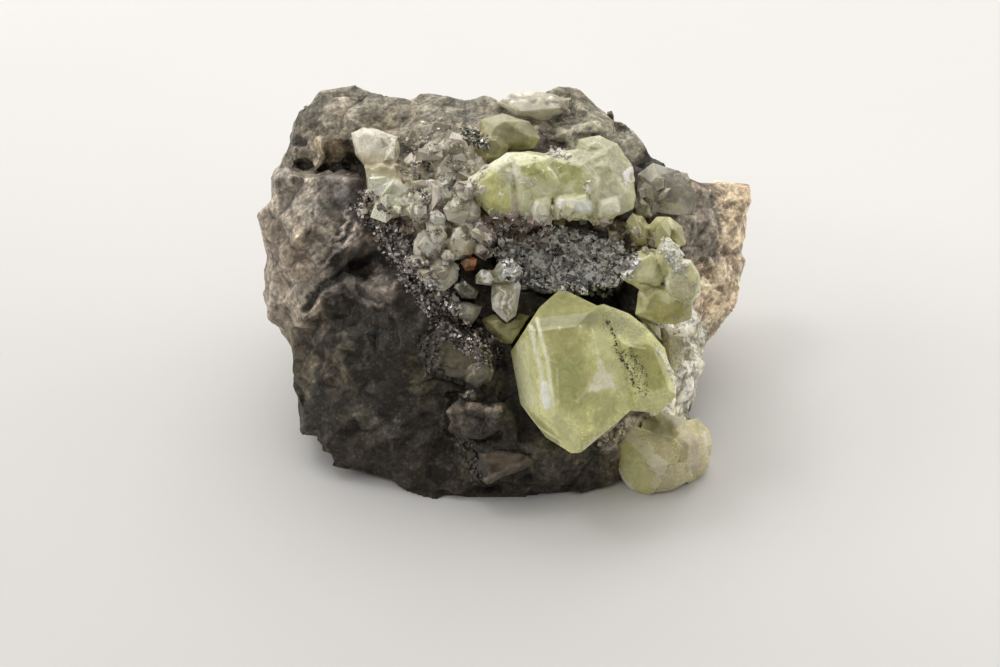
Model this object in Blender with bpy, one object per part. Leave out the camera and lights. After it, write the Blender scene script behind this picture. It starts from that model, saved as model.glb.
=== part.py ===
"""Sphalerite specimen: yellow-green sphalerite and quartz crystals on a dark, broken rock matrix.

Run with: blender --background --python part.py

The specimen rests on a broken flat underside at z = 0. Its crystals sit on one face, the display
face, which leans back from the front. Everything is laid out on that face as (across, up, out) in
millimetres: across is +X, up climbs the leaning face, out points away from the rock.
"""

import math
import random

import bmesh
import bpy
from mathutils import Matrix, Vector, noise

MM = 0.001

# Driving dimensions, in millimetres and degrees
FACE_LEAN = 40.0  # the display face's outward direction, above the horizontal
FACE_HEIGHT = 16.3  # height of the display face's centre above the ground
FACE_SETBACK = -8.0  # the display face's centre, in front of the middle of the base
GAP = 0.3  # clearance between neighbouring solids
ROCK_VOXEL = 0.62  # remeshing size of the matrix before its relief
ROCK_TRIANGLES = 2300  # of the matrix, before its crystals' sockets
RELIEF_LARGE = (5.2, 0.15)  # fracture facets: size, and slope of each
RELIEF_SMALL = (2.1, 0.22)
SWELL = (9.0, 0.75)  # soft undulation: size, and height
SHOULDER_DEPTH = 0.34  # of a crystal's height, from its front face down to its widest outline
FOOT_WIDTH = 0.86  # of a crystal's outline, at its buried foot
UNEVEN = 0.25  # how far a crystal's corners stray from level
FLAT_ANGLE = 7.0  # facets closer than this to one plane are joined
QUARTZ_POINT = 51.8  # tilt of a quartz point's facets from its axis
QUARTZ_STEP = 0.35  # how much longer every other facet of the point is, over the prism's radius
LUMP_UNEVEN = 0.84  # least reach of a lump's facets, over its ellipsoid's
CRACK_FLOOR = -12.0  # cracks are scored only in front of this depth
NOISE_SEED = 9  # of the rock's fracture facets

LEAN = math.radians(FACE_LEAN)
FACE_FRAME = Matrix.Translation((0, FACE_SETBACK * MM, FACE_HEIGHT * MM)) @ Matrix.Rotation(
    math.pi / 2 - LEAN, 4, "X"
)

# Matrix rock: convex chunks of the broken mass, by their corners
BODY = [
    (-18.9, -7.0, -9.0), (-14.3, -12.5, -8.5), (-10.1, -14.6, -8.0), (-5.9, -15.4, -7.4),
    (5.5, -14.9, -7.0), (12.3, -14.3, -8.5), (17.0, -9.9, -11.0), (18.9, -1.6, -12.5),
    (18.9, 8.3, -13.5), (13.2, 17.5, -10.5), (8.3, 20.9, -10.5), (-1.4, 22.0, -10.5),
    (-7.4, 22.4, -11.5), (-16.5, 19.8, -11.0), (-19.3, 14.4, -10.0), (-19.5, 3.1, -10.0),
    (-11.8, 14.1, -3.2), (-7.0, 9.4, -1.4), (-4.5, 1.2, -1.4), (-0.9, -7.1, -2.6),
    (2.0, -11.5, -4.4), (9.1, -9.7, -5.2), (12.8, 0.3, -4.6), (13.7, 10.3, -4.4),
    (5.4, 13.9, -3.2), (0.0, 15.8, -3.8), (-14.7, 4.1, -5.2), (-13.7, -4.3, -5.6),
    (-16.1, 5.0, -24.8), (15.1, 5.6, -26.5), (-15.8, 16.8, -18.5), (15.9, 13.8, -21.0),
    (-18.8, -7.7, -15.6), (17.3, -7.3, -16.6), (0.0, 3.0, -27.8),
    (-9.3, -14.0, -11.4), (9.3, -14.0, -11.4), (11.7, -3.5, -23.7), (-10.7, -3.5, -23.7),
]
LEFT_SHOULDER = [
    (-21.6, 14.8, -8.5), (-22.0, 9.2, -9.5), (-21.8, 3.6, -9.5), (-20.7, 1.0, -9.5),
    (-19.2, -1.5, -9.0), (-20.0, 15.3, -6.4), (-13.3, 14.7, -3.4), (-12.3, 10.1, -2.2),
    (-14.1, 4.6, -3.6), (-17.8, 1.6, -6.0), (-19.2, 9.1, -5.4), (-20.3, 14.6, -15.0),
    (-12.3, 13.4, -10.0), (-20.3, 2.1, -15.0), (-12.3, 2.1, -10.0),
]
BACK_LEFT_BLOCK = [
    (-18.4, 21.8, -11.0), (-14.9, 22.9, -12.0), (-11.7, 22.7, -12.0), (-19.4, 18.1, -10.5),
    (-21.2, 15.6, -10.5),
    (-17.6, 17.0, -8.2), (-13.7, 18.2, -7.2), (-11.5, 19.6, -8.2), (-16.8, 20.0, -18.0),
    (-11.0, 20.0, -18.0), (-12.3, 15.4, -9.0),
]
BACK_PEAK = [
    (3.7, 22.5, -11.8), (6.1, 23.2, -11.8), (8.4, 21.9, -11.3), (10.7, 20.0, -10.8),
    (2.0, 18.4, -7.8), (8.7, 18.0, -7.6), (4.2, 17.8, -17.0), (10.5, 17.3, -17.0),
]
RIGHT_FIN = [
    (17.1, 14.5, -13.5), (20.4, 14.2, -15.5), (23.4, 13.9, -17.0), (23.4, 11.5, -17.0),
    (22.9, 7.9, -17.0), (22.0, 4.1, -16.5), (20.4, 1.3, -15.5), (18.8, -1.9, -14.0),
    (17.6, 10.3, -12.2), (19.5, 9.3, -13.2), (19.5, 4.2, -13.4), (22.3, 12.7, -21.0),
    (21.0, 4.2, -21.0), (14.8, 12.7, -20.0), (14.8, 3.2, -20.0),
]
BANDED_BLOCK = [
    (-3.9, -5.4, -1.6), (0.8, -5.6, -1.2), (1.5, -9.0, -1.9), (-3.0, -9.9, -2.4),
    (-1.8, -11.0, -3.4), (-4.5, -6.1, -6.0), (2.2, -6.1, -6.0), (2.0, -11.2, -6.0),
]
LOWER_LEDGE = [
    (-2.8, -10.3, -3.6), (3.0, -10.1, -3.2), (7.1, -11.8, -4.6), (2.5, -14.1, -5.8),
    (-1.8, -13.7, -5.6), (-3.1, -10.2, -8.0), (7.2, -11.3, -9.0), (0.0, -14.8, -9.0),
]
CHUNKS = [BODY, LEFT_SHOULDER, BACK_LEFT_BLOCK, BACK_PEAK, RIGHT_FIN, BANDED_BLOCK, LOWER_LEDGE]

# Hollows cut into the rock: the opening's outline (across, up), then front and back (out)
VUG = ([(-1.6, 10.4), (3.6, 10.2), (9.0, 10.2), (12.4, 9.2), (12.8, 5.5), (11.4, 2.4), (7.0, 2.6),
        (3.6, 3.2), (0.2, 5.6), (-1.6, 8.0)], 3.0, -5.0)
VUG_THROAT = ([(5.4, 5.0), (11.6, 5.2), (12.2, 2.6), (9.4, 0.6), (6.2, 2.2)], 3.0, -7.2)
SHOULDER_RECESS = ([(-18.2, 16.9), (-11.8, 17.4), (-11.2, 15.0), (-18.6, 15.2)], -3.0, -8.2)
HOLLOWS = [VUG, VUG_THROAT, SHOULDER_RECESS]

# Cracks scored into the rock: points (across, up), width and depth
CRACKS = [
    ([(-12.8, 6.4), (-8.2, 5.0), (-4.8, 2.2), (-0.6, -0.8), (0.9, -3.6)], 1.2, 1.5),
    ([(-18.6, 15.4), (-12.6, 15.2), (-11.0, 13.4)], 0.9, 1.2),
    ([(-3.4, -5.2), (1.2, -4.8), (2.4, -8.6)], 1.0, 1.0),
    ([(-19.0, -0.6), (-15.0, 1.2), (-12.6, 3.6)], 1.1, 0.8),
]


def toward(azimuth, tilt):
    """The unit vector at this tilt from the outward axis, turned to this azimuth, in degrees."""
    turn, lean = math.radians(azimuth), math.radians(tilt)
    return Vector((math.cos(turn) * math.sin(lean), math.sin(turn) * math.sin(lean), math.cos(lean)))


def aimed(axis, roll=0.0):
    """The rotation that takes the local +Z to this axis, after a roll in degrees about it."""
    turn = Vector(axis).to_track_quat("Z", "Y").to_matrix().to_4x4()
    return turn @ Matrix.Rotation(math.radians(roll), 4, "Z")


def mesh_object(name, bm):
    """A new object from the bmesh, placed on the display face."""
    bmesh.ops.recalc_face_normals(bm, faces=bm.faces)
    mesh = bpy.data.meshes.new(name)
    bm.to_mesh(mesh)
    bm.free()
    made = bpy.data.objects.new(name, mesh)
    bpy.context.scene.collection.objects.link(made)
    made.matrix_world = FACE_FRAME
    return made


def cut_solid(planes, place, grow=0.0, reach=60.0):
    """A convex solid: a block cut by planes (normal, distance in mm), each pushed out by grow."""
    bm = bmesh.new()
    bmesh.ops.create_cube(bm, size=reach * MM)
    for normal, distance in planes:
        cut = bmesh.ops.bisect_plane(
            bm,
            geom=bm.verts[:] + bm.edges[:] + bm.faces[:],
            dist=1e-7,
            plane_co=normal * (distance + grow) * MM,
            plane_no=normal,
            clear_outer=True,
        )
        rim = [e for e in cut["geom_cut"] if isinstance(e, bmesh.types.BMEdge)]
        if rim:
            bmesh.ops.holes_fill(bm, edges=rim, sides=0)
    bmesh.ops.transform(bm, matrix=place, verts=bm.verts)
    return bm


def tabular(centre, front, sides, bevels, depth):
    """A flat-faced crystal seen on its broad face. sides are (azimuth, distance from the centre),
    and bevels are (azimuth, tilt, distance of the bevel's upper edge)."""

    def make(grow):
        planes = [(toward(0, 0), front), (toward(0, 180), depth)]
        for azimuth, distance in sides:
            planes.append((toward(azimuth, 90), distance))
        for azimuth, tilt, edge in bevels:
            normal = toward(azimuth, tilt)
            along = Vector((math.cos(math.radians(azimuth)), math.sin(math.radians(azimuth)), 0))
            planes.append((normal, normal.dot(along * edge + Vector((0, 0, front)))))
        return cut_solid(planes, Matrix.Translation(Vector(centre) * MM), grow)

    return make


def quartz(base, axis, radius, length, roll=0.0, flatten=1.0):
    """A six-sided prism that ends in a six-sided point, from its buried base along axis."""

    def make(grow):
        planes = [(toward(0, 180), radius)]
        for k in range(6):
            narrow = flatten if k % 3 == 0 else 1.0
            planes.append((toward(60 * k, 90), radius * narrow))
            cap = toward(60 * k, QUARTZ_POINT)
            tip = length if k % 2 else length + QUARTZ_STEP * radius
            planes.append((cap, cap.z * tip))
        place = Matrix.Translation(Vector(base) * MM) @ aimed(axis, roll)
        return cut_solid(planes, place, grow)

    return make


def lump(centre, radii, roll=0.0, facets=14, seed=0):
    """A crystal with uneven flat faces all round, fitted to an ellipsoid."""

    def make(grow):
        rng = random.Random(seed)
        planes = []
        for k in range(facets):
            height = 1 - 2 * (k + 0.5) / facets
            turn = k * math.pi * (3 - math.sqrt(5)) + rng.uniform(-0.3, 0.3)
            flat = math.sqrt(1 - height * height)
            normal = Vector((flat * math.cos(turn), flat * math.sin(turn), height))
            reach = Vector([n * r for n, r in zip(normal, radii)]).length
            planes.append((normal, reach * rng.uniform(LUMP_UNEVEN, 1.0)))
        place = Matrix.Translation(Vector(centre) * MM) @ Matrix.Rotation(math.radians(roll), 4, "Z")
        return cut_solid(planes, place, grow)

    return make


def hull(points):
    """A convex crystal with these corners, swollen away from its middle by grow."""
    low = Vector([min(p[axis] for p in points) for axis in range(3)])
    high = Vector([max(p[axis] for p in points) for axis in range(3)])
    centre, half = (low + high) / 2, (high - low) / 2

    def make(grow):
        grown = [
            Vector([c + (x - c) * (h + grow) / h for x, c, h in zip(p, centre, half)]) for p in points
        ]
        bm = chunk(grown)
        bmesh.ops.dissolve_limit(
            bm, angle_limit=math.radians(FLAT_ANGLE), verts=bm.verts, edges=bm.edges
        )
        bmesh.ops.triangulate(bm, faces=bm.faces)
        return bm

    return make


def crystal(outline, front, back, inset, slope, seed):
    """A crystal with its outline (across, up) at its shoulder, a smaller front face above it, which
    rises by slope per mm across and up, and a narrower foot at the back."""
    rng = random.Random(seed)
    middle = Vector((sum(p[0] for p in outline), sum(p[1] for p in outline))) / len(outline)
    shoulder = front - SHOULDER_DEPTH * (front - back)
    points = []
    for k, (u, v) in enumerate(outline):
        away = Vector((u, v)) - middle
        points.append(Vector((u, v, shoulder + rng.uniform(-UNEVEN, UNEVEN))))
        foot = middle + away * FOOT_WIDTH
        points.append(Vector((foot.x, foot.y, back)))
        if k % 3 != 2 or len(outline) < 7:
            face = middle + away * inset * rng.uniform(0.85, 1.12)
            rise = slope[0] * (face - middle).x + slope[1] * (face - middle).y
            points.append(Vector((face.x, face.y, front + rise + rng.uniform(-UNEVEN, UNEVEN) / 3)))

    return hull(points)


def faceted(corners_of_face, back):
    """A crystal whose front is the hull of these corners (across, up, out), with its foot at back."""
    middle = sum((Vector(p) for p in corners_of_face), Vector()) / len(corners_of_face)
    points = [Vector(p) for p in corners_of_face]
    for u, v, _ in corners_of_face:
        foot = middle + (Vector((u, v, 0)) - middle) * FOOT_WIDTH
        points.append(Vector((foot.x, foot.y, back)))
    return hull(points)


# Crystals, each node a list of solids that grew together
MAIN_CRYSTAL = [
    tabular(
        centre=(6.84, -3.42, 0.0), front=2.3,
        sides=[(131.5, 6.5), (147.2, 5.9), (190.5, 5.45), (217.9, 5.78), (238.5, 6.48),
               (275.6, 7.25), (309.8, 5.82), (17.2, 4.4), (63.5, 6.14)],
        bevels=[(190.6, 40, 2.27), (188, 66, 3.09), (216, 32, 3.37), (216, 62, 4.1), (97, 38, 4.0),
                (97, 50, 4.4), (9, 30, 1.93), (32, 26, 2.05), (309.8, 44, 5.1), (140, 44, 4.6)],
        depth=5.4,
    ),
    tabular(
        centre=(12.6, -2.25, -0.2), front=1.5,
        sides=[(106, 5.63), (69, 3.43), (51.2, 2.55), (41.6, 2.28), (15.2, 2.4), (0, 3.21),
               (315, 4.69), (265.2, 4.75), (197, 4.4)],
        bevels=[(60, 42, 1.5), (21, 46, 1.4), (282, 38, 3.3), (196, 34, 0.9), (95, 30, 1.2)],
        depth=5.0,
    ),
]
UPPER_CRYSTAL = [
    crystal(
        [(-2.2, 12.4), (-3.0, 13.3), (-2.9, 14.1), (-1.0, 15.0), (0.8, 16.4), (2.0, 16.0),
         (2.2, 13.4), (1.9, 10.3), (-0.6, 10.3), (-1.6, 11.3)],
        front=0.9, back=-3.2, inset=0.6, slope=(0.10, 0.02), seed=3,
    ),
    crystal(
        [(0.6, 16.3), (2.6, 16.4), (5.2, 16.2), (6.6, 13.6), (6.2, 10.6), (3.8, 10.0), (1.4, 10.5),
         (0.6, 13.0)],
        front=1.3, back=-3.2, inset=0.55, slope=(-0.05, 0.08), seed=5,
    ),
    crystal(
        [(4.2, 16.4), (7.0, 16.6), (9.4, 16.2), (9.8, 13.2), (8.9, 10.0), (6.4, 10.3), (4.6, 11.2)],
        front=1.1, back=-3.4, inset=0.58, slope=(0.02, 0.05), seed=8,
    ),
    crystal(
        [(7.4, 16.2), (9.6, 16.8), (11.9, 15.2), (12.3, 12.4), (12.1, 11.2), (10.4, 10.6),
         (8.4, 9.7), (7.4, 12.4)],
        front=0.4, back=-3.6, inset=0.6, slope=(-0.08, 0.05), seed=13,
    ),
    crystal(
        [(6.6, 16.4), (7.2, 17.6), (9.0, 17.9), (10.7, 17.2), (12.0, 15.3), (10.4, 14.2),
         (7.6, 14.6)],
        front=-1.3, back=-5.0, inset=0.55, slope=(-0.05, -0.1), seed=21,
    ),
    crystal(
        [(2.9, 10.6), (3.1, 12.3), (4.5, 12.5), (4.8, 10.4), (4.0, 9.6)],
        front=1.5, back=-1.0, inset=0.6, slope=(0.1, -0.2), seed=34,
    ),
    crystal(
        [(5.0, 10.5), (5.0, 12.2), (7.9, 12.6), (8.3, 10.9), (6.9, 10.1)],
        front=1.7, back=-1.0, inset=0.7, slope=(0.0, -0.2), seed=35,
    ),
    crystal(
        [(8.5, 10.2), (8.8, 12.0), (10.6, 12.4), (10.9, 10.9), (9.4, 9.5)],
        front=1.0, back=-1.0, inset=0.6, slope=(0.05, -0.1), seed=36,
    ),
]
RIGHT_CRYSTAL = [
    crystal(
        [(10.9, 5.6), (11.4, 6.5), (12.0, 7.4), (13.9, 7.7), (14.8, 6.6), (15.1, 5.4), (14.4, 4.3),
         (12.9, 3.8), (11.9, 4.4), (11.0, 4.9)],
        front=0.3, back=-3.6, inset=0.62, slope=(0.04, 0.05), seed=51,
    ),
    crystal(
        [(13.8, 6.9), (14.6, 8.4), (15.1, 8.8), (16.4, 7.4), (16.4, 5.4), (15.0, 4.8), (13.9, 5.6)],
        front=0.7, back=-3.4, inset=0.5, slope=(0.05, 0.12), seed=52,
    ),
    crystal(
        [(14.8, 4.5), (15.1, 5.9), (15.9, 6.8), (17.2, 6.7), (18.0, 5.4), (18.2, 4.1), (17.8, 2.9),
         (16.6, 2.4), (15.4, 3.1)],
        front=0.5, back=-3.2, inset=0.8, slope=(-0.10, -0.04), seed=53,
    ),
    crystal(
        [(12.5, 3.8), (13.7, 4.4), (16.0, 4.4), (17.4, 3.0), (17.3, 1.3), (16.2, 0.9), (14.6, 0.8),
         (12.2, 1.7)],
        front=-0.2, back=-3.6, inset=0.62, slope=(0.02, -0.08), seed=54,
    ),
]
RIGHT_UPPER_CRYSTAL = [
    crystal(
        [(11.4, 9.5), (11.7, 10.7), (12.9, 10.7), (13.6, 9.6), (13.4, 8.1), (12.2, 7.9)],
        front=-1.0, back=-4.6, inset=0.55, slope=(0.0, 0.1), seed=61,
    ),
    crystal(
        [(13.3, 9.6), (14.2, 10.6), (15.4, 10.6), (16.5, 9.7), (16.9, 8.1), (15.2, 7.4),
         (13.6, 7.9)],
        front=-1.1, back=-4.8, inset=0.55, slope=(0.05, 0.1), seed=62,
    ),
]
LOWER_RIGHT_CRYSTAL = [
    faceted(
        [(10.4, -11.0, -8.0), (10.9, -10.0, -7.7), (11.4, -9.6, -6.9), (13.9, -12.1, -5.7),
         (14.9, -13.5, -6.2), (13.9, -14.9, -7.5), (12.9, -14.9, -7.9), (11.8, -14.1, -8.2),
         (10.7, -12.4, -8.3)],
        back=-11.0,
    ),
    faceted(
        [(11.3, -9.7, -7.1), (12.2, -8.5, -7.2), (13.3, -8.9, -6.6), (15.9, -9.5, -6.0),
         (16.7, -10.4, -5.9), (16.2, -11.9, -5.5), (13.8, -12.2, -5.5), (12.2, -11.6, -6.9)],
        back=-11.0,
    ),
    faceted(
        [(13.6, -12.3, -6.0), (15.6, -11.9, -5.7), (17.2, -11.9, -6.4), (17.8, -13.3, -7.3),
         (15.8, -14.4, -7.5), (14.0, -14.7, -7.7), (13.2, -13.6, -7.2)],
        back=-11.0,
    ),
    faceted(
        [(15.8, -9.3, -6.9), (16.9, -8.0, -8.2), (18.2, -7.8, -8.8), (19.3, -8.9, -8.9),
         (19.6, -10.2, -8.9), (19.4, -12.0, -9.2), (18.8, -13.0, -9.2), (17.4, -13.9, -8.8),
         (17.3, -10.2, -6.3), (17.2, -12.2, -6.6), (15.6, -11.7, -6.2)],
        back=-11.6,
    ),
    faceted(
        [(13.0, -7.9, -8.2), (14.9, -7.3, -8.0), (17.0, -7.7, -8.2), (16.4, -9.2, -6.8),
         (14.4, -9.4, -6.8), (13.0, -9.0, -7.6)],
        back=-10.6,
    ),
]
MILKY_CRYSTAL = [
    crystal(
        [(-13.6, 18.3), (-12.5, 18.8), (-9.4, 18.0), (-9.0, 16.8), (-9.3, 15.0), (-10.8, 14.3),
         (-12.2, 15.0), (-13.2, 16.3)],
        front=-2.4, back=-6.0, inset=0.72, slope=(0.05, -0.25), seed=81,
    ),
    crystal(
        [(-12.3, 15.2), (-10.7, 15.6), (-9.2, 15.4), (-8.8, 13.6), (-10.3, 12.8), (-12.0, 13.0)],
        front=-1.6, back=-5.0, inset=0.66, slope=(0.0, 0.02), seed=82,
    ),
    crystal(
        [(-12.2, 12.8), (-10.7, 13.9), (-8.9, 13.9), (-7.9, 12.8), (-9.2, 11.7), (-11.4, 12.0)],
        front=-0.7, back=-4.0, inset=0.7, slope=(0.0, 0.12), seed=83,
    ),
    crystal(
        [(-11.4, 12.2), (-9.3, 12.0), (-7.7, 12.7), (-7.9, 11.2), (-9.3, 10.4), (-11.0, 10.7)],
        front=-0.5, back=-4.0, inset=0.6, slope=(0.0, -0.15), seed=84,
    ),
]
BACK_CRYSTAL = [
    crystal(
        [(-1.8, 19.5), (0.2, 20.1), (2.7, 19.3), (3.7, 17.8), (3.1, 16.8), (1.4, 16.6),
         (-0.6, 16.8), (-2.1, 17.6)],
        front=-3.2, back=-6.6, inset=0.55, slope=(0.0, -0.12), seed=91,
    ),
    crystal(
        [(-1.9, 17.8), (-0.2, 18.0), (0.9, 16.9), (0.2, 15.7), (-1.7, 15.4), (-2.2, 16.6)],
        front=-2.2, back=-5.6, inset=0.6, slope=(0.0, 0.0), seed=92,
    ),
]
WHITE_CRYSTAL = [
    crystal(
        [(-0.4, 21.3), (1.1, 22.1), (3.7, 22.4), (6.6, 21.8), (6.4, 20.5), (4.1, 19.5),
         (1.4, 20.1)],
        front=-6.9, back=-10.5, inset=0.66, slope=(0.0, -0.3), seed=101,
    ),
]
PALE_CRYSTAL = [
    crystal(
        [(11.9, 1.7), (13.6, 1.8), (14.5, 1.1), (14.7, -1.0), (13.0, -1.2), (11.9, 0.0)],
        front=-1.3, back=-4.8, inset=0.65, slope=(0.05, 0.05), seed=111,
    ),
]
SIDE_CRYSTAL = [
    crystal(
        [(14.9, 0.7), (17.2, 0.3), (17.3, -2.0), (16.0, -3.6), (15.0, -2.2)],
        front=-4.2, back=-8.0, inset=0.6, slope=(-0.1, 0.0), seed=112,
    ),
]
SMOKY_QUARTZ = [
    crystal(
        [(-5.7, 1.4), (-2.9, 0.3), (-0.7, -1.3), (-0.5, -2.4), (-0.9, -3.8), (-2.7, -4.5),
         (-4.8, -3.9), (-6.6, -3.4), (-7.0, -1.0)],
        front=-1.1, back=-4.4, inset=0.62, slope=(0.13, 0.0), seed=121,
    ),
    crystal(
        [(-3.2, -3.0), (-1.8, -2.7), (-0.6, -3.3), (-0.9, -4.3), (-1.9, -5.0), (-3.2, -4.4)],
        front=-0.4, back=-3.0, inset=0.55, slope=(0.1, 0.05), seed=122,
    ),
]
OLIVE_CRYSTAL = [
    crystal(
        [(-1.7, 1.3), (-0.6, 1.8), (1.5, 1.9), (2.9, 1.6), (2.5, 0.3), (1.4, -1.1), (0.0, -0.8),
         (-1.2, 0.3)],
        front=-1.1, back=-4.4, inset=0.6, slope=(0.0, 0.0), seed=131,
    ),
]
BROWN_QUARTZ = [
    crystal(
        [(-3.0, -10.4), (-0.4, -9.9), (2.5, -9.6), (3.6, -10.8), (3.2, -11.9), (0.7, -12.9),
         (-1.2, -13.8), (-2.2, -13.2)],
        front=-3.1, back=-6.6, inset=0.6, slope=(0.0, 0.1), seed=141,
    ),
]
ORANGE_CRYSTAL = [lump((-2.8, 6.3, -0.5), (0.65, 0.5, 0.7), roll=20, facets=10, seed=151)]
UPPER_GREY_QUARTZ = [
    crystal(
        [(-6.9, 16.6), (-5.2, 17.6), (-3.4, 17.2), (-1.9, 16.8), (-2.0, 14.8), (-3.8, 13.8),
         (-5.4, 14.3), (-6.6, 15.2)],
        front=-2.2, back=-5.4, inset=0.6, slope=(0.0, -0.05), seed=156,
    ),
    quartz((-5.6, 16.0, -4.6), (-0.25, 0.2, 1.0), 1.05, 3.2, 10),
    quartz((-4.0, 16.3, -4.6), (0.15, 0.35, 1.0), 1.15, 3.4, 35),
    quartz((-3.2, 14.8, -4.4), (0.3, -0.2, 1.0), 0.95, 3.1, 50),
    quartz((-4.8, 14.6, -4.4), (-0.1, -0.3, 1.0), 0.85, 3.0, 5),
]
GREY_QUARTZ_LEFT = [
    crystal(
        [(-4.4, 4.4), (-3.4, 5.1), (-2.4, 4.3), (-1.9, 3.8), (-2.2, 3.1), (-3.5, 3.2)],
        front=-0.4, back=-3.0, inset=0.6, slope=(0.0, 0.1), seed=157,
    ),
]
GREY_QUARTZ_LOW = [
    crystal(
        [(-5.1, 2.6), (-4.0, 3.1), (-2.7, 2.8), (-1.6, 2.4), (-2.0, 1.5), (-2.7, 0.7), (-3.8, 1.5)],
        front=-0.6, back=-3.0, inset=0.6, slope=(0.05, 0.1), seed=158,
    ),
]


def point_cluster(seed, count, across, up, out, radius, length, spread):
    """Quartz points that grow side by side, over a patch given by its (low, high) across and up.
    out is the patch's (left, right) height, radius and length are (low, high)."""
    rng = random.Random(seed)
    grown = []
    for k in range(count):
        u = across[0] + (across[1] - across[0]) * ((k * 0.618034 + rng.uniform(-0.06, 0.06)) % 1.0)
        v = up[0] + (up[1] - up[0]) * (k + rng.uniform(0.1, 0.9)) / count
        share = (u - across[0]) / (across[1] - across[0])
        w = out[0] + (out[1] - out[0]) * share
        axis = (rng.uniform(-spread, spread), rng.uniform(-spread, spread), 1.0)
        size = rng.uniform(*radius)
        grown.append(
            quartz((u, v, w), axis, size, rng.uniform(*length), rng.uniform(0, 60), rng.uniform(0.7, 1.0))
        )
    return grown


QUARTZ_CLUSTER = [
    crystal(
        [(-4.6, 11.3), (-3.8, 12.4), (-2.5, 12.5), (-1.7, 11.5), (-1.9, 9.9), (-3.2, 9.6),
         (-4.4, 10.0)],
        front=0.3, back=-3.0, inset=0.6, slope=(0.0, 0.1), seed=161,
    ),
    crystal(
        [(-6.7, 10.0), (-5.4, 10.5), (-4.5, 9.8), (-4.4, 8.3), (-5.4, 7.2), (-6.5, 8.0)],
        front=0.6, back=-3.0, inset=0.5, slope=(0.0, 0.05), seed=162,
    ),
    crystal(
        [(-4.7, 9.7), (-3.4, 10.4), (-2.3, 9.9), (-2.0, 8.4), (-2.6, 6.8), (-4.1, 6.6),
         (-4.9, 8.0)],
        front=0.8, back=-3.0, inset=0.55, slope=(0.0, 0.0), seed=163,
    ),
    crystal(
        [(-7.8, 8.4), (-6.9, 9.4), (-5.9, 9.1), (-5.4, 7.9), (-5.8, 6.6), (-7.1, 6.4), (-7.8, 7.3)],
        front=0.4, back=-3.0, inset=0.55, slope=(-0.1, 0.0), seed=164,
    ),
    crystal(
        [(-7.6, 6.0), (-6.5, 6.8), (-5.0, 7.0), (-3.7, 6.2), (-3.8, 4.8), (-5.0, 3.8), (-6.4, 4.0),
         (-7.4, 5.1)],
        front=0.3, back=-3.2, inset=0.5, slope=(0.0, -0.15), seed=165,
    ),
    crystal(
        [(-2.4, 10.0), (-1.8, 10.4), (-1.0, 9.3), (-0.9, 7.9), (-1.4, 7.6), (-2.2, 8.4)],
        front=0.8, back=-2.6, inset=0.5, slope=(0.15, 0.0), seed=166,
    ),
    crystal(
        [(-2.4, 8.2), (-1.5, 8.2), (-0.6, 7.4), (-0.7, 6.9), (-1.6, 6.7), (-2.4, 7.2)],
        front=0.4, back=-2.6, inset=0.55, slope=(0.1, 0.0), seed=167,
    ),
    crystal(
        [(-8.5, 11.6), (-7.6, 13.3), (-6.3, 14.0), (-4.9, 13.6), (-4.3, 12.2), (-5.0, 10.6),
         (-6.7, 10.0), (-7.9, 10.4)],
        front=-0.5, back=-3.4, inset=0.6, slope=(0.05, 0.05), seed=168,
    ),
] + point_cluster(17, 9, (-7.6, -2.6), (6.0, 13.4), (-1.2, -0.9), (0.45, 0.8), (1.5, 2.3), 0.45)
SMALL_QUARTZ = [
    crystal(
        [(-2.2, 5.2), (-1.7, 5.8), (-0.7, 5.7), (-0.2, 4.9), (-0.8, 4.3), (-2.2, 4.5)],
        front=0.8, back=-2.4, inset=0.6, slope=(0.0, 0.1), seed=171,
    ),
    crystal(
        [(-0.7, 5.6), (0.0, 6.5), (1.1, 6.6), (2.0, 5.9), (1.8, 5.1), (0.9, 4.6), (0.0, 4.4),
         (-0.7, 5.0)],
        front=1.1, back=-2.4, inset=0.62, slope=(0.0, 0.05), seed=172,
    ),
    crystal(
        [(-0.7, 4.7), (1.6, 4.9), (1.9, 4.3), (1.5, 1.9), (1.4, 1.6), (0.6, 1.0), (0.2, 1.3),
         (-0.7, 2.2), (-0.8, 3.2)],
        front=0.9, back=-2.6, inset=0.5, slope=(0.1, 0.0), seed=173,
    ),
]
RIGHT_DRUSE = [
    crystal(
        [(12.6, 14.6), (14.0, 15.6), (16.4, 14.9), (18.0, 12.8), (17.8, 10.8), (15.6, 10.9),
         (13.0, 11.4), (12.5, 12.8)],
        front=-4.6, back=-8.4, inset=0.6, slope=(-0.12, -0.1), seed=181,
    ),
] + point_cluster(23, 9, (12.8, 17.0), (11.2, 14.2), (-5.4, -7.2), (0.6, 1.0), (1.5, 2.2), 0.45)

CRYSTALS = {
    "main_crystal": MAIN_CRYSTAL,
    "upper_crystal": UPPER_CRYSTAL,
    "right_crystal": RIGHT_CRYSTAL,
    "right_upper_crystal": RIGHT_UPPER_CRYSTAL,
    "lower_right_crystal": LOWER_RIGHT_CRYSTAL,
    "milky_crystal": MILKY_CRYSTAL,
    "back_crystal": BACK_CRYSTAL,
    "white_crystal": WHITE_CRYSTAL,
    "pale_crystal": PALE_CRYSTAL,
    "side_crystal": SIDE_CRYSTAL,
    "orange_crystal": ORANGE_CRYSTAL,
    "small_quartz": SMALL_QUARTZ,
    "quartz_cluster": QUARTZ_CLUSTER,
    "upper_grey_quartz": UPPER_GREY_QUARTZ,
    "grey_quartz_left": GREY_QUARTZ_LEFT,
    "grey_quartz_low": GREY_QUARTZ_LOW,
    "smoky_quartz": SMOKY_QUARTZ,
    "olive_crystal": OLIVE_CRYSTAL,
    "brown_quartz": BROWN_QUARTZ,
    "right_druse": RIGHT_DRUSE,
}

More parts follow.
